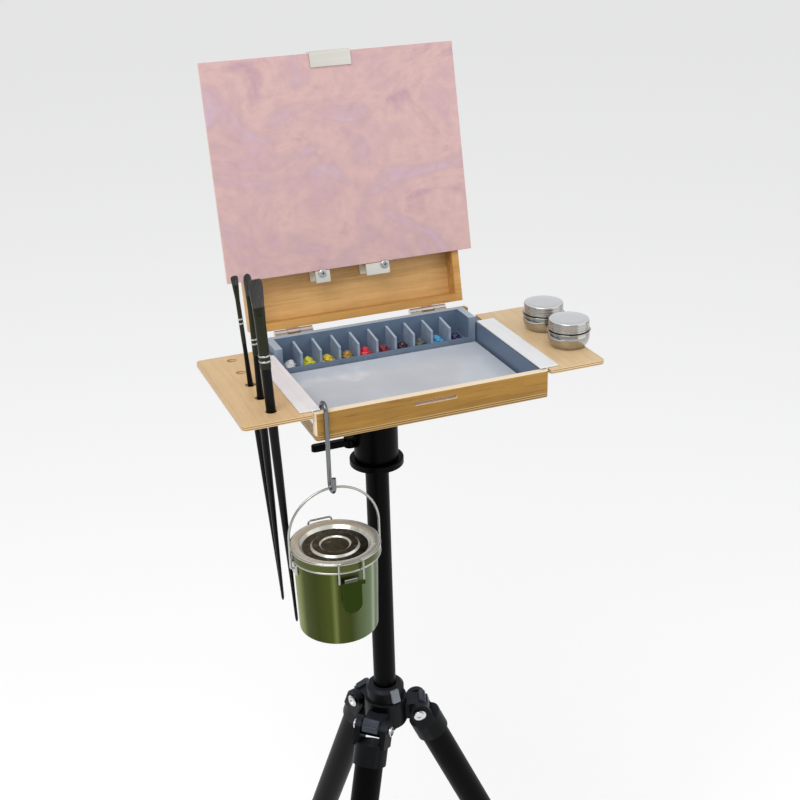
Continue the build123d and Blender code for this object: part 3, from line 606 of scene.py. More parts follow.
def wornTrayWithPaintedHighlight(name, frontHighlight):
    # blue-grey paint with painted highlight: its sharp upper edges paler, partly wear and partly painted
    # highlight, its top faces paler, and on the dividers the faces that look forward too
    material = paintMaterial(name, tint("#64758c"), 0.42, wear=0.9, bare=tint("#b3bfcc"))
    tree = material.node_tree
    coords = addNode(tree, "ShaderNodeTexCoord")
    where = fed(tree, "SeparateXYZ", coords.outputs["Object"])
    high = mathNode(tree, "GREATER_THAN", where.outputs["Z"], boxHome.z + 0.02)
    # painted highlight: the top faces above the tray floor made paler
    paintedTopHighlight = mathNode(tree, "MULTIPLY", mathNode(tree, "MULTIPLY", facing(tree, "Z", 1), high), 0.85)
    alsoPainted(material, paintedTopHighlight, tint("#a9b8c6"))
    # painted highlight on the faces that look forward, for the dividers
    if frontHighlight:
        alsoPainted(material, mathNode(tree, "MULTIPLY", facing(tree, "Y", -1), 0.6), tint("#93a5b8"))
    return material


trayGrey = wornTrayWithPaintedHighlight("trayGrey", False)
dividerGrey = wornTrayWithPaintedHighlight("dividerGrey", True)
aluminium = metalMaterial("aluminium", tint("#f6fafd"), 0.42, 0.56, (500, 8, 500), Metallic=0.45)
clipAluminium = metalMaterial("clipAluminium", tint("#e8e6dd"), 0.3, 0.42, (8, 500, 500))
mastAluminium = metalMaterial("mastAluminium", tint("#cfd0ce"), 0.26, 0.4, (500, 500, 6))
polishedSteel = metalMaterial("polishedSteel", tint("#b2b0ab"), 0.05, 0.12, (30, 30, 30))


# painted reflection: light and dark olive bands fixed round the can stand for the streaks its steel
# reflects; the turn faces the first band to the left of the can's front; stops run once round it
canReflectionBands = {"turn": -22.0, "metallic": 0.95, "strength": 0.8,
            "stops": ((0.0, "#464c26"), (0.25, "#4e5a18"), (0.30, "#84881e"), (0.345, "#6e7620"),
                      (0.37, "#3c4416"), (0.43, "#333a14"), (0.485, "#464f20"), (0.5, "#767c48"),
                      (0.515, "#3e461c"), (0.56, "#343c18"), (0.60, "#566444"), (0.655, "#697a5c"),
                      (0.675, "#a8b09a"), (0.69, "#4c5a30"), (0.75, "#3e5010"), (1.0, "#464c26"))}


def canMaterial():
    # steel drawn upright, with painted reflection bands of light and dark olive that run down its side
    material = metalMaterial("canSteel", tint("#4c5326"), 0.26, 0.44, (900, 900, 9))
    tree = material.node_tree
    shader = tree.nodes["Principled BSDF"]
    shader.inputs["Metallic"].default_value = canReflectionBands["metallic"]
    axis = middleOf("can_body")
    coords = addNode(tree, "ShaderNodeTexCoord")
    turned = addNode(tree, "ShaderNodeMapping", vector_type="TEXTURE")
    turned.inputs["Location"].default_value = (axis.x, axis.y, 0)
    turned.inputs["Rotation"].default_value = (0, 0, radians(canReflectionBands["turn"]))
    tree.links.new(coords.outputs["Object"], turned.inputs["Vector"])
    where = fed(tree, "SeparateXYZ", turned.outputs[0])
    forwards = mathNode(tree, "MULTIPLY", where.outputs["Y"], -1)
    angle = mathNode(tree, "ARCTAN2", where.outputs["X"], forwards)
    around = mathNode(tree, "MULTIPLY_ADD", angle, 1 / (2 * pi), 0.5)
    # painted reflection bands, by the angle round the can
    bands = ramp(tree, around, [(spot, tint(colour)) for spot, colour in canReflectionBands["stops"]])
    return alsoPainted(material, canReflectionBands["strength"], bands)


canSteel = canMaterial()


lidFinish = {"flatReach": 0.039, "bandDepth": 0.0006, "rimRadius": 0.0013, "rimSteps": 10}


def lidSteelMaterial():
    # bright rims and slopes, the flat rings inside them painted dark and mottled as painted reflection, and
    # an olive band round the side
    material = metalMaterial("lidSteel", tint("#d8d8d2"), 0.16, 0.26, (30, 30, 30), Metallic=0.65)
    tree = material.node_tree
    low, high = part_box("can_lid")
    axis = (low + high) / 2
    coords = addNode(tree, "ShaderNodeTexCoord")
    where = fed(tree, "SeparateXYZ", coords.outputs["Object"])
    outward = addNode(tree, "ShaderNodeCombineXYZ")
    tree.links.new(mathNode(tree, "SUBTRACT", where.outputs["X"], axis.x), outward.inputs["X"])
    tree.links.new(mathNode(tree, "SUBTRACT", where.outputs["Y"], axis.y), outward.inputs["Y"])
    radius = addNode(tree, "ShaderNodeVectorMath", operation="LENGTH")
    tree.links.new(outward.outputs[0], radius.inputs[0])
    inside = mathNode(tree, "LESS_THAN", radius.outputs["Value"], lidFinish["flatReach"])
    paintedReflectionFlats = mathNode(tree, "MULTIPLY", facing(tree, "Z", 1, 0.97), inside)
    # mottled dark colour of the painted reflection on the flat rings
    mottle = fed(tree, "TexNoise", coords.outputs["Object"], Scale=160, Detail=6)
    dark = ramp(tree, mottle.outputs["Fac"],
                [(0.35, tint("#2c2a22")), (0.62, tint("#4a473b")), (0.75, tint("#8a877a"))])
    alsoPainted(material, paintedReflectionFlats, dark)
    bandRadius = (high.x - low.x) / 2 - lidFinish["bandDepth"]
    outer = mathNode(tree, "GREATER_THAN", radius.outputs["Value"], bandRadius)
    return alsoPainted(material, outer, tint("#4c5220"))


lidSteel = lidSteelMaterial()
wireSteel = metalMaterial("wireSteel", tint("#b4b5ae"), 0.14, 0.24, (50, 50, 50))
hookSteel = metalMaterial("hookSteel", tint("#77797b"), 0.2, 0.32, (50, 50, 50))
screwSteel = metalMaterial("screwSteel", tint("#cfd0d1"), 0.14, 0.26, (80, 80, 80))
nickel = metalMaterial("nickel", tint("#d9cfc9"), 0.2, 0.36, (20, 300, 300))
blackAnodised = paintMaterial("blackAnodised", tint("#010101"), 0.38, wear=0.3, bare=tint("#0c0c0e"),
                              Specular_IOR_Level=0.06)
castingGrey = paintMaterial("castingGrey", tint("#030405"), 0.4, wear=0.6, bare=tint("#24272c"),
                            Specular_IOR_Level=0.12)
# painted highlight: the casting's upward faces lighter grey, where the light falls on them
castingPaintedHighlight = mathNode(castingGrey.node_tree, "MULTIPLY", facing(castingGrey.node_tree, "Z", 1, 0.45), 0.75)
alsoPainted(castingGrey, castingPaintedHighlight, tint("#272b31"))
blackRubber = paintMaterial("blackRubber", tint("#060607"), 0.62, wear=0.2, bare=tint("#1e1e20"),
                            Specular_IOR_Level=0.2)
brushBlack = paintMaterial("brushBlack", tint("#020203"), 0.28, wear=0.1, bare=tint("#101010"),
                           Specular_IOR_Level=0.16)
latchSteel = wireSteel.copy()
latchSteel.name = "latchSteel"
latchFaces = mathNode(latchSteel.node_tree, "MAXIMUM", facing(latchSteel.node_tree, "Y", -1, 0.985),
                      facing(latchSteel.node_tree, "Y", 1, 0.985))
alsoPainted(latchSteel, latchFaces, tint("#2c3a14"))
print("materials built")




def islands(node):
    # the separate solids of a CAD node, each as a list of its points, left to right
    bm = bmesh.new()
    bm.from_mesh(frame["nodes"][node].data)
    bmesh.ops.remove_doubles(bm, verts=bm.verts, dist=1e-6)
    seen, groups = set(), []
    for start in bm.verts:
        if start in seen:
            continue
        stack, group = [start], []
        seen.add(start)
        while stack:
            vert = stack.pop()
            group.append(vert.co.copy())
            for edge in vert.link_edges:
                other = edge.other_vert(vert)
                if other not in seen:
                    seen.add(other)
                    stack.append(other)
        groups.append(group)
    bm.free()
    return sorted(groups, key=lambda g: sum(p.x for p in g) / len(g))


def centreOf(points):
    low = Vector([min(p[i] for p in points) for i in range(3)])
    high = Vector([max(p[i] for p in points) for i in range(3)])
    return (low + high) / 2


def shapesOnPointsTree():
    # one shape on every point, turned along the point's direction and stretched to its reach
    tree = bpy.data.node_groups.new("ShapesOnPoints", "GeometryNodeTree")
    sockets = {}
    for label, kind in (("Points", "Geometry"), ("Shape", "Object"), ("Thickness", "Float"),
                        ("Finish", "Material")):
        sockets[label] = tree.interface.new_socket(label, in_out="INPUT", socket_type="NodeSocket" + kind)
    tree.interface.new_socket("Geometry", in_out="OUTPUT", socket_type="NodeSocketGeometry")
    source = tree.nodes.new("NodeGroupInput")
    result = tree.nodes.new("NodeGroupOutput")
    points = tree.nodes.new("GeometryNodeMeshToPoints")
    tree.links.new(source.outputs["Points"], points.inputs["Mesh"])
    info = tree.nodes.new("GeometryNodeObjectInfo")
    tree.links.new(source.outputs["Shape"], info.inputs["Object"])
    direction = addNode(tree, "GeometryNodeInputNamedAttribute", data_type="FLOAT_VECTOR")
    direction.inputs["Name"].default_value = "direction"
    reach = addNode(tree, "GeometryNodeInputNamedAttribute", data_type="FLOAT")
    reach.inputs["Name"].default_value = "reach"
    align = tree.nodes.new("FunctionNodeAlignRotationToVector")
    align.axis = "Z"
    tree.links.new(direction.outputs["Attribute"], align.inputs["Vector"])
    size = tree.nodes.new("ShaderNodeCombineXYZ")
    tree.links.new(source.outputs["Thickness"], size.inputs["X"])
    tree.links.new(source.outputs["Thickness"], size.inputs["Y"])
    tree.links.new(reach.outputs["Attribute"], size.inputs["Z"])
    onPoints = tree.nodes.new("GeometryNodeInstanceOnPoints")
    tree.links.new(points.outputs["Points"], onPoints.inputs["Points"])
    tree.links.new(info.outputs["Geometry"], onPoints.inputs["Instance"])
    tree.links.new(align.outputs["Rotation"], onPoints.inputs["Rotation"])
    tree.links.new(size.outputs[0], onPoints.inputs["Scale"])
    realized = tree.nodes.new("GeometryNodeRealizeInstances")
    tree.links.new(onPoints.outputs["Instances"], realized.inputs[0])
    finish = tree.nodes.new("GeometryNodeSetMaterial")
    tree.links.new(realized.outputs[0], finish.inputs["Geometry"])
    tree.links.new(source.outputs["Finish"], finish.inputs["Material"])
    tree.links.new(finish.outputs[0], result.inputs["Geometry"])
    return tree, {name: socket.identifier for name, socket in sockets.items()}


shapesTree, shapesSockets = shapesOnPointsTree()


def repeated(name, shapeMesh, spots, material, thickness=1.0):
    # spots holds (place, direction, reach) for each copy of the shape
    mesh = bpy.data.meshes.new(name)
    mesh.from_pydata([tuple(spot[0]) for spot in spots], [], [])
    directions = mesh.attributes.new("direction", "FLOAT_VECTOR", "POINT")
    directions.data.foreach_set("vector", [c for spot in spots for c in spot[1]])
    reaches = mesh.attributes.new("reach", "FLOAT", "POINT")
    reaches.data.foreach_set("value", [spot[2] for spot in spots])
    template = newObject(name + "Shape", shapeMesh)
    piece = newObject(name, mesh)
    maker = piece.modifiers.new("shapesOnPoints", "NODES")
    maker.node_group = shapesTree
    maker[shapesSockets["Shape"]] = template
    maker[shapesSockets["Thickness"]] = thickness
    maker[shapesSockets["Finish"]] = material
    withModifiersApplied(piece)
    bpy.data.objects.remove(template)
    for attribute in ("direction", "reach"):
        if attribute in piece.data.attributes:
            piece.data.attributes.remove(piece.data.attributes[attribute])
    return piece


# ---- squeezed paint, one blob in each well

paintDabs = {"tallness": 1.3, "spread": 1.127, "fullness": 0.5, "ridges": 3, "lean": 0.3,
             "turn": 1.9, "rows": 22, "steps": 40,
             "colours": ("#ffffff", "#e0dc3c", "#f0cc22", "#b88c34", "#f02438", "#8a1024", "#3a121e",
                         "#5a615a", "#4aa6da", "#241e5c")}


def dabMaterial(colour):
    material, tree, shader = newMaterial("oilPaint" + colour[1:], tint(colour), 0.28, Coat_Weight=0.35)
    coords = addNode(tree, "ShaderNodeTexCoord")
    streaks = fed(tree, "TexNoise", coords.outputs["Object"], Scale=420, Detail=3)
    deep = tuple(c * 0.72 for c in tint(colour))
    pale = tuple(min(1, c * 1.12 + 0.01) for c in tint(colour))
    streaked = ramp(tree, streaks.outputs["Fac"], [(0.3, deep), (0.7, pale)])
    tree.links.new(streaked, shader.inputs["Base Color"])
    bump(tree, shader, streaks.outputs["Fac"], 0.3, 0.0003)
    return material


def squeezedDab(index, points, colour):
    centre = centreOf(points)
    low = min(p.z for p in points)
    radius = max(p.x for p in points) - centre.x
    tall = (max(p.z for p in points) - low) * paintDabs["tallness"]
    rows, steps = paintDabs["rows"], paintDabs["steps"]
    turn = index * paintDabs["turn"]
    verts, faces = [], []
    for row in range(rows):
        t = row / rows
        for step in range(steps):
            a = 2 * pi * step / steps
            wide = 0.11 * sin(paintDabs["ridges"] * a + 9 * t + turn)
            fine = 0.05 * sin(5 * a - 13 * t + turn)
            swirl = 1 + wide + fine
            terrace = 1 + 0.05 * cos(6 * pi * t)
            rough = 0.12 * noise.noise(Vector((cos(a) * 2, sin(a) * 2, t * 5 + index * 7)))
            r = radius * paintDabs["spread"] * (1 - t) ** paintDabs["fullness"] * (swirl * terrace + rough)
            shift = paintDabs["lean"] * radius * t * t
            height = tall * (0.12 + t ** 1.25) if row else 0
            verts.append(Vector((centre.x + r * cos(a) + shift * cos(turn),
                                 centre.y + r * sin(a) + shift * sin(turn), low + height)))
    top = len(verts)
    lean = paintDabs["lean"] * radius * 1.1
    verts.append(Vector((centre.x + lean * cos(turn), centre.y + lean * sin(turn), low + tall * 1.14)))
    verts.append(Vector((centre.x, centre.y, low)))
    faces += ringFaces(rows, steps)
    for step in range(steps):
        after = (step + 1) % steps
        faces.append(((rows - 1) * steps + step, (rows - 1) * steps + after, top))
        faces.append((after, step, top + 1))
    mesh = meshFrom(f"dab{index}", verts, faces)
    mesh.materials.append(dabMaterial(colour))
    return mesh


blobs = [squeezedDab(i, points, paintDabs["colours"][i]) for i, points in enumerate(islands("paint_dabs"))]
place(joined("paint_dabs_finished", blobs), "box", "oil_paint", "paint_dabs")
print("paint squeezed out")


# ---- brushes: lacquered handles, dark ferrules with bright rings, and hair

brushes = {
    "brush_1": {"handle": 0.0034, "ferrule": 0.0023, "hairWidth": 0.008, "tip": 0.55,
                "rings": (0.072, 0.077)},
    "brush_2": {"handle": 0.0042, "ferrule": 0.0030, "hairWidth": 0.0085, "tip": 0.2,
                "rings": (0.062, 0.067)},
    "brush_3": {"handle": 0.0051, "ferrule": 0.0054, "hairWidth": 0.0145, "tip": 0.72,
                "rings": (0.057, 0.063)},
    "tail": 0.0017, "ferruleBase": 0.050, "hairBase": 0.115, "flatLength": 0.016, "flatThickness": 0.0065,
    "steps": 40, "smoothAngle": 45, "bristles": 170, "bristleThickness": 0.00022, "goldenTurn": 2.39996,
}
ringSteel = metalMaterial("ringSteel", tint("#c4c5c6"), 0.14, 0.22, (60, 60, 60))
ferruleBlack = metalMaterial("ferruleBlack", tint("#34362b"), 0.3, 0.42, (300, 300, 10))


def hairMaterial():
    material, tree, shader = newMaterial("brushHair", tint("#2b2723"), 0.55, Sheen_Weight=0.25)
    coords = addNode(tree, "ShaderNodeTexCoord")
    mapping = fed(tree, "Mapping", coords.outputs["Object"], Scale=(1500, 1500, 18))
    strands = fed(tree, "TexNoise", mapping.outputs[0], Scale=1, Detail=3)
    tree.links.new(ramp(tree, strands.outputs["Fac"], [(0.3, tint("#12110f")), (0.6, tint("#2f2b26")),
                                                       (0.8, tint("#6b665c"))]), shader.inputs["Base Color"])
    bump(tree, shader, strands.outputs["Fac"], 0.6, 0.0004)
    return material


brushHair = hairMaterial()


def endsOf(node):
    points = [v.co for v in frame["nodes"][node].data.vertices]
    low = min(p.z for p in points)
    high = max(p.z for p in points)
    band = 0.0012
    return (centreOf([p for p in points if p.z < low + band]),
            centreOf([p for p in points if p.z > high - band]))


def eased01(t):
    # goes from 0 to 1 with a soft start and a soft end
    return 3 * t * t - 2 * t ** 3


def makeBrush(node):
    brush = brushes[node]
    tail, tip = endsOf(node)
    along = (tip - tail).normalized()
    length = (tip - tail).length
    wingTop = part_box("wing_left")[1].z
    atWing = (wingTop - tail.z) / along.z
    frameOfBrush = basis(tail, along)
    r, f = brush["handle"], brush["ferrule"]
    ferruleStart = atWing + brushes["ferruleBase"]
    hairStart = atWing + brushes["hairBase"]
    tailRadius = brushes["tail"]
    handle = [(0, 0), (tailRadius * 0.55, 0.0004), (tailRadius * 0.9, 0.003), (tailRadius, 0.007)]
    for k in range(1, 13):
        t = k / 12
        belly = tailRadius + (r * 0.96 - tailRadius) * eased01(t) ** 0.85
        handle.append((belly, 0.007 + t * (atWing - 0.042)))
    for k in range(1, 9):
        t = k / 8
        narrowing = r + (f * 0.97 - r) * eased01(t)
        handle.append((narrowing, atWing - 0.03 + t * (ferruleStart - atWing + 0.03)))
    handle.append((0, ferruleStart))
    body = lathe(node + "_handle", handle, frameOfBrush, brushes["steps"], brushes["smoothAngle"])
    body.data.materials.append(brushBlack)
    ferrule = [(0, ferruleStart - 0.001), (f * 1.03, ferruleStart - 0.001), (f * 1.06, ferruleStart),
               (f * 1.05, hairStart - 0.02), (f * 0.99, hairStart - 0.008), (0, hairStart - 0.008)]
    tube = lathe(node + "_ferrule", ferrule, frameOfBrush, brushes["steps"], brushes["smoothAngle"])
    tube.data.materials.append(ferruleBlack)
    parts = [body.data, tube.data]
    for height in brush["rings"]:
        h = atWing + height
        ring = lathe(node + "_ring", [(f * 0.9, h - 0.0009), (f * 1.1, h - 0.0009), (f * 1.16, h - 0.0005),
                                      (f * 1.16, h + 0.0005), (f * 1.1, h + 0.0009), (f * 0.9, h + 0.0009)],
                     frameOfBrush, brushes["steps"], brushes["smoothAngle"])
        ring.data.materials.append(ringSteel)
        parts.append(ring.data)
        bpy.data.objects.remove(ring)
    # flattened end of the ferrule, then the hair
    wide, thick = brush["hairWidth"] / 2, min(1.7 * f, brushes["flatThickness"]) / 2
    rows = []
    for k in range(7):
        t = k / 6
        halfWidth = f * 1.05 + (wide * 0.86 - f * 1.05) * t
        halfThickness = f * 1.05 + (thick - f * 1.05) * t
        rows.append((hairStart - brushes["flatLength"] * (1 - t), halfWidth, halfThickness, 2 + t))
    flat = superTube(node + "_flat", rows, frameOfBrush)
    flat.materials.append(ferruleBlack)
    parts.append(flat)
    hairRows = []
    hairLength = length - hairStart
    for k in range(15):
        t = k / 14
        swell = 0.84 + 0.18 * sin(pi * min(1, t * 1.15) * 0.5)
        rounding = brush["tip"] + (1 - brush["tip"]) * sqrt(max(0, 1 - max(0, (t - 0.72) / 0.28) ** 2))
        thinning = 0.98 - 0.72 * t ** 1.4
        hairRows.append((hairStart - 0.001 + hairLength * t, wide * swell * rounding, thick * thinning, 2.6))
    hair = superTube(node + "_hair", hairRows, frameOfBrush)
    hair.materials.append(brushHair)
    parts.append(hair)
    whole = joined(node + "_finished", parts)
    for extra in (body, tube):
        bpy.data.objects.remove(extra)
    shadeByAngle(whole.data, 50)
    place(whole, node, "brush_lacquer", node)
    # loose hairs that stand a little proud of the tuft
    spots = []
    for k in range(brushes["bristles"]):
        a = k * brushes["goldenTurn"]
        s = sqrt((k + 0.5) / brushes["bristles"])
        root = Vector((wide * 0.8 * s * cos(a), thick * 0.9 * s * sin(a), hairStart))
        spread = wide * (brush["tip"] * 0.35 + 0.62)
        shorter = 0.006 * (s * abs(cos(a))) ** 3 * (1.2 - brush["tip"])
        reach = length - 0.0012 - shorter - 0.0012 * (k % 4)
        end = Vector((spread * s * cos(a), thick * 0.42 * s * sin(a), reach))
        start, finish = frameOfBrush @ root, frameOfBrush @ end
        spots.append((start, (finish - start).normalized(), (finish - start).length))
    strand = bpy.data.meshes.new("strand")
    bm = bmesh.new()
    bmesh.ops.create_cone(bm, segments=4, radius1=1, radius2=0.35, depth=1, cap_ends=True)
    bmesh.ops.translate(bm, vec=(0, 0, 0.5), verts=bm.verts)
    bm.to_mesh(strand)
    bm.free()
    bristles = repeated(node + "_bristles", strand, spots, brushHair, brushes["bristleThickness"])
    place(bristles, node, "brush_lacquer")


def superTube(name, rows, matrix, steps=32):
    # lofts rounded-rectangle rows: (height, half width, half thickness, squareness)
    points, faces = [], []
    for height, a, b, power in rows:
        for i in range(steps):
            angle = 2 * pi * i / steps
            c, s = cos(angle), sin(angle)
            x = a * abs(c) ** (2 / power) * (1 if c >= 0 else -1)
            y = b * abs(s) ** (2 / power) * (1 if s >= 0 else -1)
            points.append(matrix @ Vector((x, y, height)))
    faces += ringFaces(len(rows), steps)
    faces.append(tuple(reversed(range(steps))))
    faces.append(tuple(range((len(rows) - 1) * steps, len(rows) * steps)))
    return meshFrom(name, points, faces)


for node in ("brush_1", "brush_2", "brush_3"):
    makeBrush(node)
print("brushes made")


# ---- cup lids: a bright rim round a frosted top, and rolled rings down the side

cupLids = {"sink": 0.0005, "rings": 3, "ringDepth": 0.00045, "ringSteps": 8, "steps": 96}


def cupLidMaterial():
    material = polishedSteel.copy()
    material.name = "cupLidSteel"
    tree = material.node_tree
    shader = tree.nodes["Principled BSDF"]
    under = shader.inputs["Roughness"].links[0].from_socket
    top = facing(tree, "Z", 1)
    mixed = mixColour(tree, top, under, (0.42, 0.42, 0.42, 1))
    tree.links.new(mixed, shader.inputs["Roughness"])
    alsoPainted(material, top, tint("#e4e6e8"))
    shader.inputs["Metallic"].default_value = 0.75
    return material


cupLidSteel = cupLidMaterial()


def makeCupLid(node):
    low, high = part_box(node)
    middle = (low + high) / 2
    radius = (high.x - low.x) / 2
    tall = high.z - low.z
    side = []
    count = cupLids["rings"]
    last = count * cupLids["ringSteps"]
    for k in range(last + 1):
        t = k / last
        dip = cupLids["ringDepth"] * (0.5 - 0.5 * cos(2 * pi * count * t))
        side.append((radius - dip, 0.0006 + t * (tall * 0.72)))
    profile = [(radius - 0.0012, 0.0)] + side + [
        (radius - 0.0002, tall * 0.82), (radius - 0.0004, tall - 0.0008), (radius - 0.001, tall - 0.0002),
        (radius - 0.0017, tall), (radius - 0.0024, tall - 0.0002), (radius - 0.003, tall - cupLids["sink"]),
        (radius * 0.5, tall - cupLids["sink"]), (0, tall - cupLids["sink"]), (0, tall - 0.0016),
        (radius - 0.0016, tall - 0.0016), (radius - 0.0016, 0.0), (radius - 0.0012, 0.0)]
    lid = lathe(node + "_finished", profile, Matrix.Translation((middle.x, middle.y, low.z)),
                cupLids["steps"], 40)
    lid.data.materials.append(cupLidSteel)
    place(lid, node, "steel", node)


for node in ("cup_front_lid", "cup_rear_lid"):
    makeCupLid(node)


# ---- two rolled rims round the can's lid

def canLidRims():
    low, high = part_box("can_lid")
    middle = (low + high) / 2
    reach = (high.x - low.x) / 2
    r, steps = lidFinish["rimRadius"], lidFinish["rimSteps"]
    rims = []
    for height in (low.z + r, high.z - r * 1.3):
        profile = []
        for k in range(steps + 1):
            a = -pi / 2 + pi * k / steps
            profile.append((reach - r * 0.5 + r * cos(a), r * sin(a)))
        profile.append((reach - r * 0.9, r))
        profile.append((reach - r * 0.9, -r))
        profile.append(profile[0])
        rim = lathe("rim", profile, Matrix.Translation((middle.x, middle.y, height)), 96, 50)
        rim.data.materials.append(wireSteel)
        rims.append(rim)
    whole = joined("can_lid_rims", [rim.data for rim in rims])
    for rim in rims:
        bpy.data.objects.remove(rim)
    shadeByAngle(whole.data, 50)
    place(whole, homeOf("can_lid")[0], "steel")


canLidRims()


# ---- dark crosses on the ledge screws as painted shade of their recesses, and hexagon sockets in the leg axles

screwCross = {"length": 0.0036, "width": 0.001, "depth": 0.0005}
axleCaps = {"radius": 0.0066, "height": 0.0016, "socket": 0.0029}
shadowBlack = paintMaterial("shadowBlack", tint("#141414"), 0.6, wear=0.1)


def crossMesh():
    long, wide, deep = screwCross["length"], screwCross["width"], screwCross["depth"]
    bars = [boxMesh("bar", (long, wide, deep), Matrix(), 0.0001),
            boxMesh("bar", (wide, long, deep), Matrix(), 0.0001)]
    made = joined("cross", bars)
    mesh = made.data
    bpy.data.objects.remove(made)
    return mesh


def screwCrosses():
    # dark crosses stand for the shaded cross recesses: painted shade
    spots = []
    for points in islands("ledge_screws"):
        reach = max(p.dot(lidOut) for p in points)
        top = centreOf([p for p in points if p.dot(lidOut) > reach - 0.0001])
        spots.append((top - lidOut * 0.0001, lidOut, 1.0))
    place(repeated("ledge_screw_crosses", crossMesh(), spots, shadowBlack), "lid", "steel")


screwCrosses()


def axleCap():
    # a round cap with an eased rim and a six-sided socket sunk in it
    r, h, s = axleCaps["radius"], axleCaps["height"], axleCaps["socket"]
    steps = 36
    rows = [(r, 0.0), (r, h * 0.55), (r * 0.86, h), (s * 1.25, h), (s, h * 0.9), (s, h * 0.15)]
    points, faces = [], []
    for radius, height in rows:
        for i in range(steps):
            a = 2 * pi * i / steps
            six = radius / cos((a + pi / 6) % (pi / 3) - pi / 6) * 0.95 if radius == s else radius
            points.append((six * cos(a), six * sin(a), height))
    faces += ringFaces(len(rows), steps)
    faces.append(tuple(range((len(rows) - 1) * steps, len(rows) * steps)))
    faces.append(tuple(reversed(range(steps))))
    mesh = meshFrom("axleCap", points, faces)
    shadeByAngle(mesh, 30)
    return mesh


def axleEnds():
    hub = middleOf("spider")
    spots = []
    for points in islands("leg_axles"):
        centre = centreOf(points)
        outward = Vector((centre.x - hub.x, centre.y - hub.y, 0)).normalized()
        side = Vector((-outward.y, outward.x, 0))
        for sign in (-1, 1):
            reach = max((p - centre).dot(side * sign) for p in points)
            spots.append((centre + side * sign * (reach - 0.0002), side * sign, 1.0))
    return spots


place(repeated("leg_axle_caps", axleCap(), axleEnds(), screwSteel), "tripod", "steel")
print("screws and axle caps made")


# ---- tabs on the tripod's shoulder

tripodTabs = {"collarTurn": -80, "collarSize": (0.011, 0.005, 0.017), "angleSize": (0.021, 0.006, 0.017),
              "angleRibs": 2}
tabGrey = paintMaterial("tabGrey", tint("#6f747b"), 0.4, wear=0.4, bare=tint("#a0a5ab"))
tabBlue = paintMaterial("tabBlue", tint("#2c3440"), 0.42, wear=0.6, bare=tint("#6b7683"))


def collarTab():
    low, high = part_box("lock_collar")
    middle = (low + high) / 2
    radius = (high.x - low.x) / 2
    a = radians(tripodTabs["collarTurn"])
    outward = Vector((cos(a), sin(a), 0))
    lean = (outward * 0.35 + Vector((0, 0, -1))).normalized()
    spot = Vector((middle.x, middle.y, high.z - 0.004)) + outward * (radius - 0.0005)
    matrix = basis(spot + lean * 0.004, outward + Vector((0, 0, 0.35)), (-outward.y, outward.x, 0))
    across, tall, deep = tripodTabs["collarSize"]
    mesh = boxMesh("collar_tab", (across, deep, tall), matrix, 0.0014, 3)
    mesh.materials.append(tabGrey)
    place(newObject("collar_tab", mesh), "collar", "tripod_casting")


collarTab()


def angleTabs():
    hub = middleOf("spider")
    for points in islands("leg_axles"):
        centre = centreOf(points)
        outward = Vector((centre.x - hub.x, centre.y - hub.y, 0)).normalized()
        number = min((1, 2, 3), key=lambda n: (middleOf(f"leg_{n}_casting") - centre).length)
        side = Vector((-outward.y, outward.x, 0))
        up = (Vector((0, 0, 1)) - outward * 0.6).normalized()
        out = side.cross(up) * (-1 if side.cross(up).dot(outward) < 0 else 1)
        parts = []
        spot = centre + outward * 0.008 + Vector((0, 0, 0.008))
        plate = boxMesh("tab", tripodTabs["angleSize"], basisFull(spot, side, out, up), 0.0012, 3)
        plate.materials.append(tabBlue)
        parts.append(plate)
        for r in range(tripodTabs["angleRibs"]):
            ribSpot = spot + out * 0.0036 + up * (0.005 - 0.007 * r)
            rib = boxMesh("rib", (tripodTabs["angleSize"][0] * 0.86, 0.002, 0.003),
                          basisFull(ribSpot, side, out, up), 0.0007, 2)
            rib.materials.append(tabBlue)
            parts.append(rib)
        place(joined(f"leg_{number}_angle_tab", parts), f"leg_{number}", "tripod_casting")


def basisFull(origin, x, y, z):
    m = Matrix((x, y, z)).transposed().to_4x4()
    m.translation = origin
    return m


angleTabs()
print("tripod tabs made")


# ---- the pieces that keep their CAD shape, with eased edges and a finish of their own

finishes = {
    "box_bottom": bottomMaterial(), "box_front": frontBoardMaterial(), "box_rear": boardWood,
    "box_sides": sideStripMaterial(), "paint_tray": trayGrey, "tray_dividers": dividerGrey,
    "wing_channels": aluminium, "wing_left": wingLeftPly, "wing_right": wingRightPly,
    "lid_back": lidWood, "lid_rails": lidRailWood, "mast_guide": lidWood, "mast": mastAluminium,
    "top_clip": clipAluminium, "ledge_clips": clipAluminium, "ledge_screws": screwSteel,
    "box_hinges": nickel, "lid_hinges": nickel,
    "cup_front": polishedSteel, "cup_rear": polishedSteel,
    "can_hook": hookSteel, "can_body": canSteel, "can_lid": lidSteel,
    "can_fittings": wireSteel, "can_bail": wireSteel, "can_strainer": wireSteel,
    "latch_front": latchSteel, "latch_back": latchSteel,
    "mount_plate": blackAnodised, "head_clamp": blackAnodised, "head_body": blackAnodised,
    "head_lever": blackAnodised, "platform": blackAnodised, "column": blackAnodised,
    "lock_collar": castingGrey, "spider": castingGrey, "leg_axles": screwSteel,
}
for k in (1, 2, 3):
    for part, material in (("casting", castingGrey), ("upper", blackAnodised), ("lock", blackRubber),
                           ("lower", blackAnodised), ("foot", blackRubber)):
        finishes[f"leg_{k}_{part}"] = material


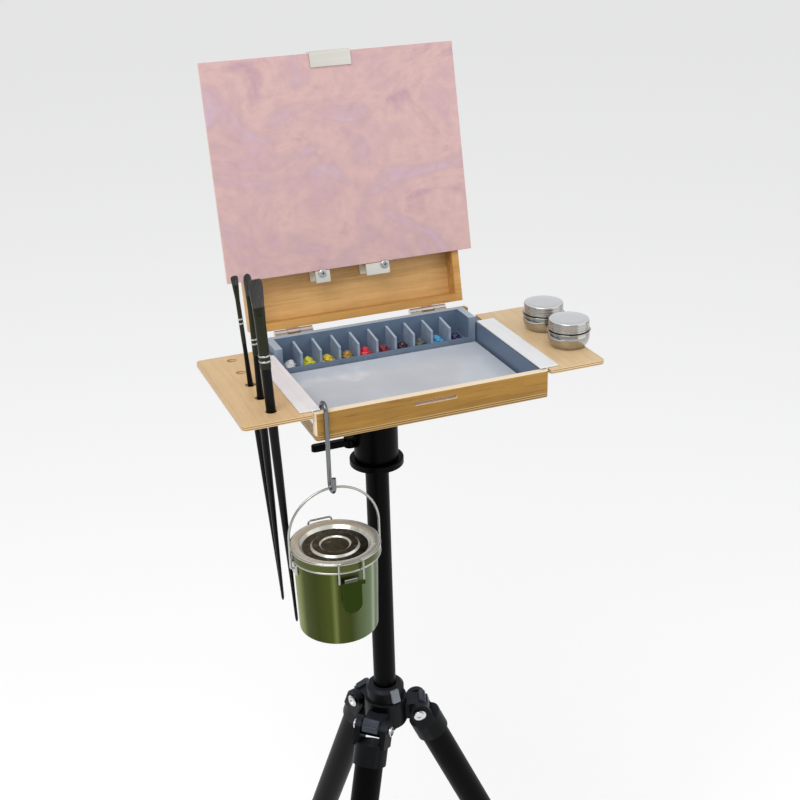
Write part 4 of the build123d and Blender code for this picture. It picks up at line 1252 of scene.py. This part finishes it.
def glassMaterial():
    # clear glass over the grey floor reads as one pale grey, with pale blotches that are painted reflection
    # and dried smears, and cut edges painted near black as painted shade in the gap round it
    material, tree, shader = newMaterial("paletteGlass", tint("#c2c8d1"), 0.3, Coat_Weight=0.3,
                                         Coat_Roughness=0.08, Specular_IOR_Level=0.3)
    coords = addNode(tree, "ShaderNodeTexCoord")
    # pale blotches: painted reflection of the sky, with dried smears
    smearsAndPaintedGlare = fed(tree, "TexNoise", coords.outputs["Object"], Scale=14, Detail=4)
    tree.links.new(ramp(tree, smearsAndPaintedGlare.outputs["Fac"], [(0.3, tint("#bac2ca")), (0.6, tint("#c4cbd3")),
                                                      (0.72, tint("#dde1e6"))]), shader.inputs["Base Color"])
    # the side faces painted near black: painted shade in the gap round the glass
    paintedGapShade = mathNode(tree, "SUBTRACT", 1.0, facing(tree, "Z", 1))
    return alsoPainted(material, paintedGapShade, tint("#0d0f12"))


softened("palette_glass", glassMaterial(), 0.0004)

canvas = {"pitch": 0.0015, "relief": 0.00018, "washScale": 7.0, "edge": "#e6d8c8"}


def canvasMaterial():
    # primed cloth with thin pink and lilac washes brushed across it
    material, tree, shader = newMaterial("primedCanvas", tint("#d6b6b4"), 0.85)
    coords = addNode(tree, "ShaderNodeTexCoord")
    stretched = fed(tree, "Mapping", coords.outputs["Object"], Scale=(1.0, 1.0, 1.7), Rotation=(0, 0.5, 0))
    washes = fed(tree, "TexNoise", stretched.outputs[0], Scale=canvas["washScale"], Detail=7,
                 Roughness=0.65, Distortion=1.4)
    washed = ramp(tree, washes.outputs["Fac"], [(0.3, tint("#c09da6")), (0.45, tint("#d6b3ae")),
                                                (0.56, tint("#cba9ac")), (0.72, tint("#cdb4c6"))])
    cloth = useGroup(tree, weaveTree, Lean=(lidLean, 0, 0), Pitch=canvas["pitch"], Slub=0.5)
    # darker where the weave dips under, as painted shade, and varied with the threads' slub
    weaveShadeAndSlub = mathNode(tree, "MULTIPLY", cloth.outputs["Height"], cloth.outputs["Thread"])
    threads = ramp(tree, weaveShadeAndSlub, [(0.05, (0.86, 0.84, 0.86)), (0.3, (1, 1, 1)), (0.5, (1.08, 1.08, 1.06))])
    tree.links.new(mixColour(tree, 1.0, washed, threads, "MULTIPLY"), shader.inputs["Base Color"])
    bump(tree, shader, cloth.outputs["Height"], 0.35, canvas["relief"])
    sides = mathNode(tree, "MAXIMUM", facing(tree, "X", 1, 0.8), facing(tree, "X", -1, 0.8))
    rim = mathNode(tree, "MAXIMUM", sides, facing(tree, "Z", 1, 0.8))
    return alsoPainted(material, rim, tint(canvas["edge"]))


softened("canvas_panel", canvasMaterial(), 0.0006)


for node, material in finishes.items():
    if node in frame["nodes"]:
        softened(node, material)
print("pieces finished")


# ---- floor, light and camera

floorFinish = newMaterial("paleFloor", (0.93, 0.93, 0.93), 0.95,
                          Emission_Color=(1, 1, 1, 1), Emission_Strength=0.16)[0]


studio = {"floorSize": 40.0, "cameraPlace": (-494.3, -1160.0, 581.1), "cameraTurn": (66.11, 1.49, -22.0),
          "lens": 58.46, "keyEnergy": 75.0, "keySize": 2.6, "worldLevel": 0.7}

floorMesh = bpy.data.meshes.new("floor")
half = studio["floorSize"] / 2
floorCorners = [(-half, -half, 0), (half, -half, 0), (half, half, 0), (-half, half, 0)]
floorMesh.from_pydata(floorCorners, [], [(0, 1, 2, 3)])
floorMesh.materials.append(floorFinish)
newObject("floor", floorMesh)

cameraData = bpy.data.cameras.new("camera")
cameraData.lens = studio["lens"]
cameraData.sensor_width = 36
cameraData.clip_start = 0.01
cameraData.clip_end = 100
camera = newObject("camera", cameraData)
camera.location = at(*studio["cameraPlace"])
camera.rotation_euler = [radians(a) for a in studio["cameraTurn"]]
bpy.context.scene.camera = camera


def areaLight(name, place, target, energy, size, colour=(1, 1, 1)):
    data = bpy.data.lights.new(name, "AREA")
    data.energy = energy
    data.size = size
    data.color = colour
    lamp = newObject(name, data)
    lamp.location = place
    lamp.rotation_euler = (Vector(target) - Vector(place)).to_track_quat("-Z", "Y").to_euler()
    return lamp


boxCentre = at(0, 100, 30)
areaLight("keyLight", at(-1800, -1500, 2900), boxCentre, studio["keyEnergy"], studio["keySize"])
areaLight("fillLight", at(1300, -900, 500), boxCentre, 6, 1.6)

world = bpy.data.worlds.new("softStudio")
world.use_nodes = True
bpy.context.scene.world = world
tree = world.node_tree
background = tree.nodes["Background"]
coords = addNode(tree, "ShaderNodeTexCoord")
split = addNode(tree, "ShaderNodeSeparateXYZ")
tree.links.new(coords.outputs["Generated"], split.inputs[0])
height = mathNode(tree, "MULTIPLY_ADD", split.outputs["Z"], 0.5, 0.5)
sky = ramp(tree, height, [(0.3, (0.25, 0.27, 0.25)), (0.55, (0.75, 0.76, 0.78)), (0.9, (1, 1, 1))])
tree.links.new(sky, background.inputs["Color"])
background.inputs["Strength"].default_value = studio["worldLevel"]
bpy.context.scene.view_settings.view_transform = "Standard"
print("studio set")
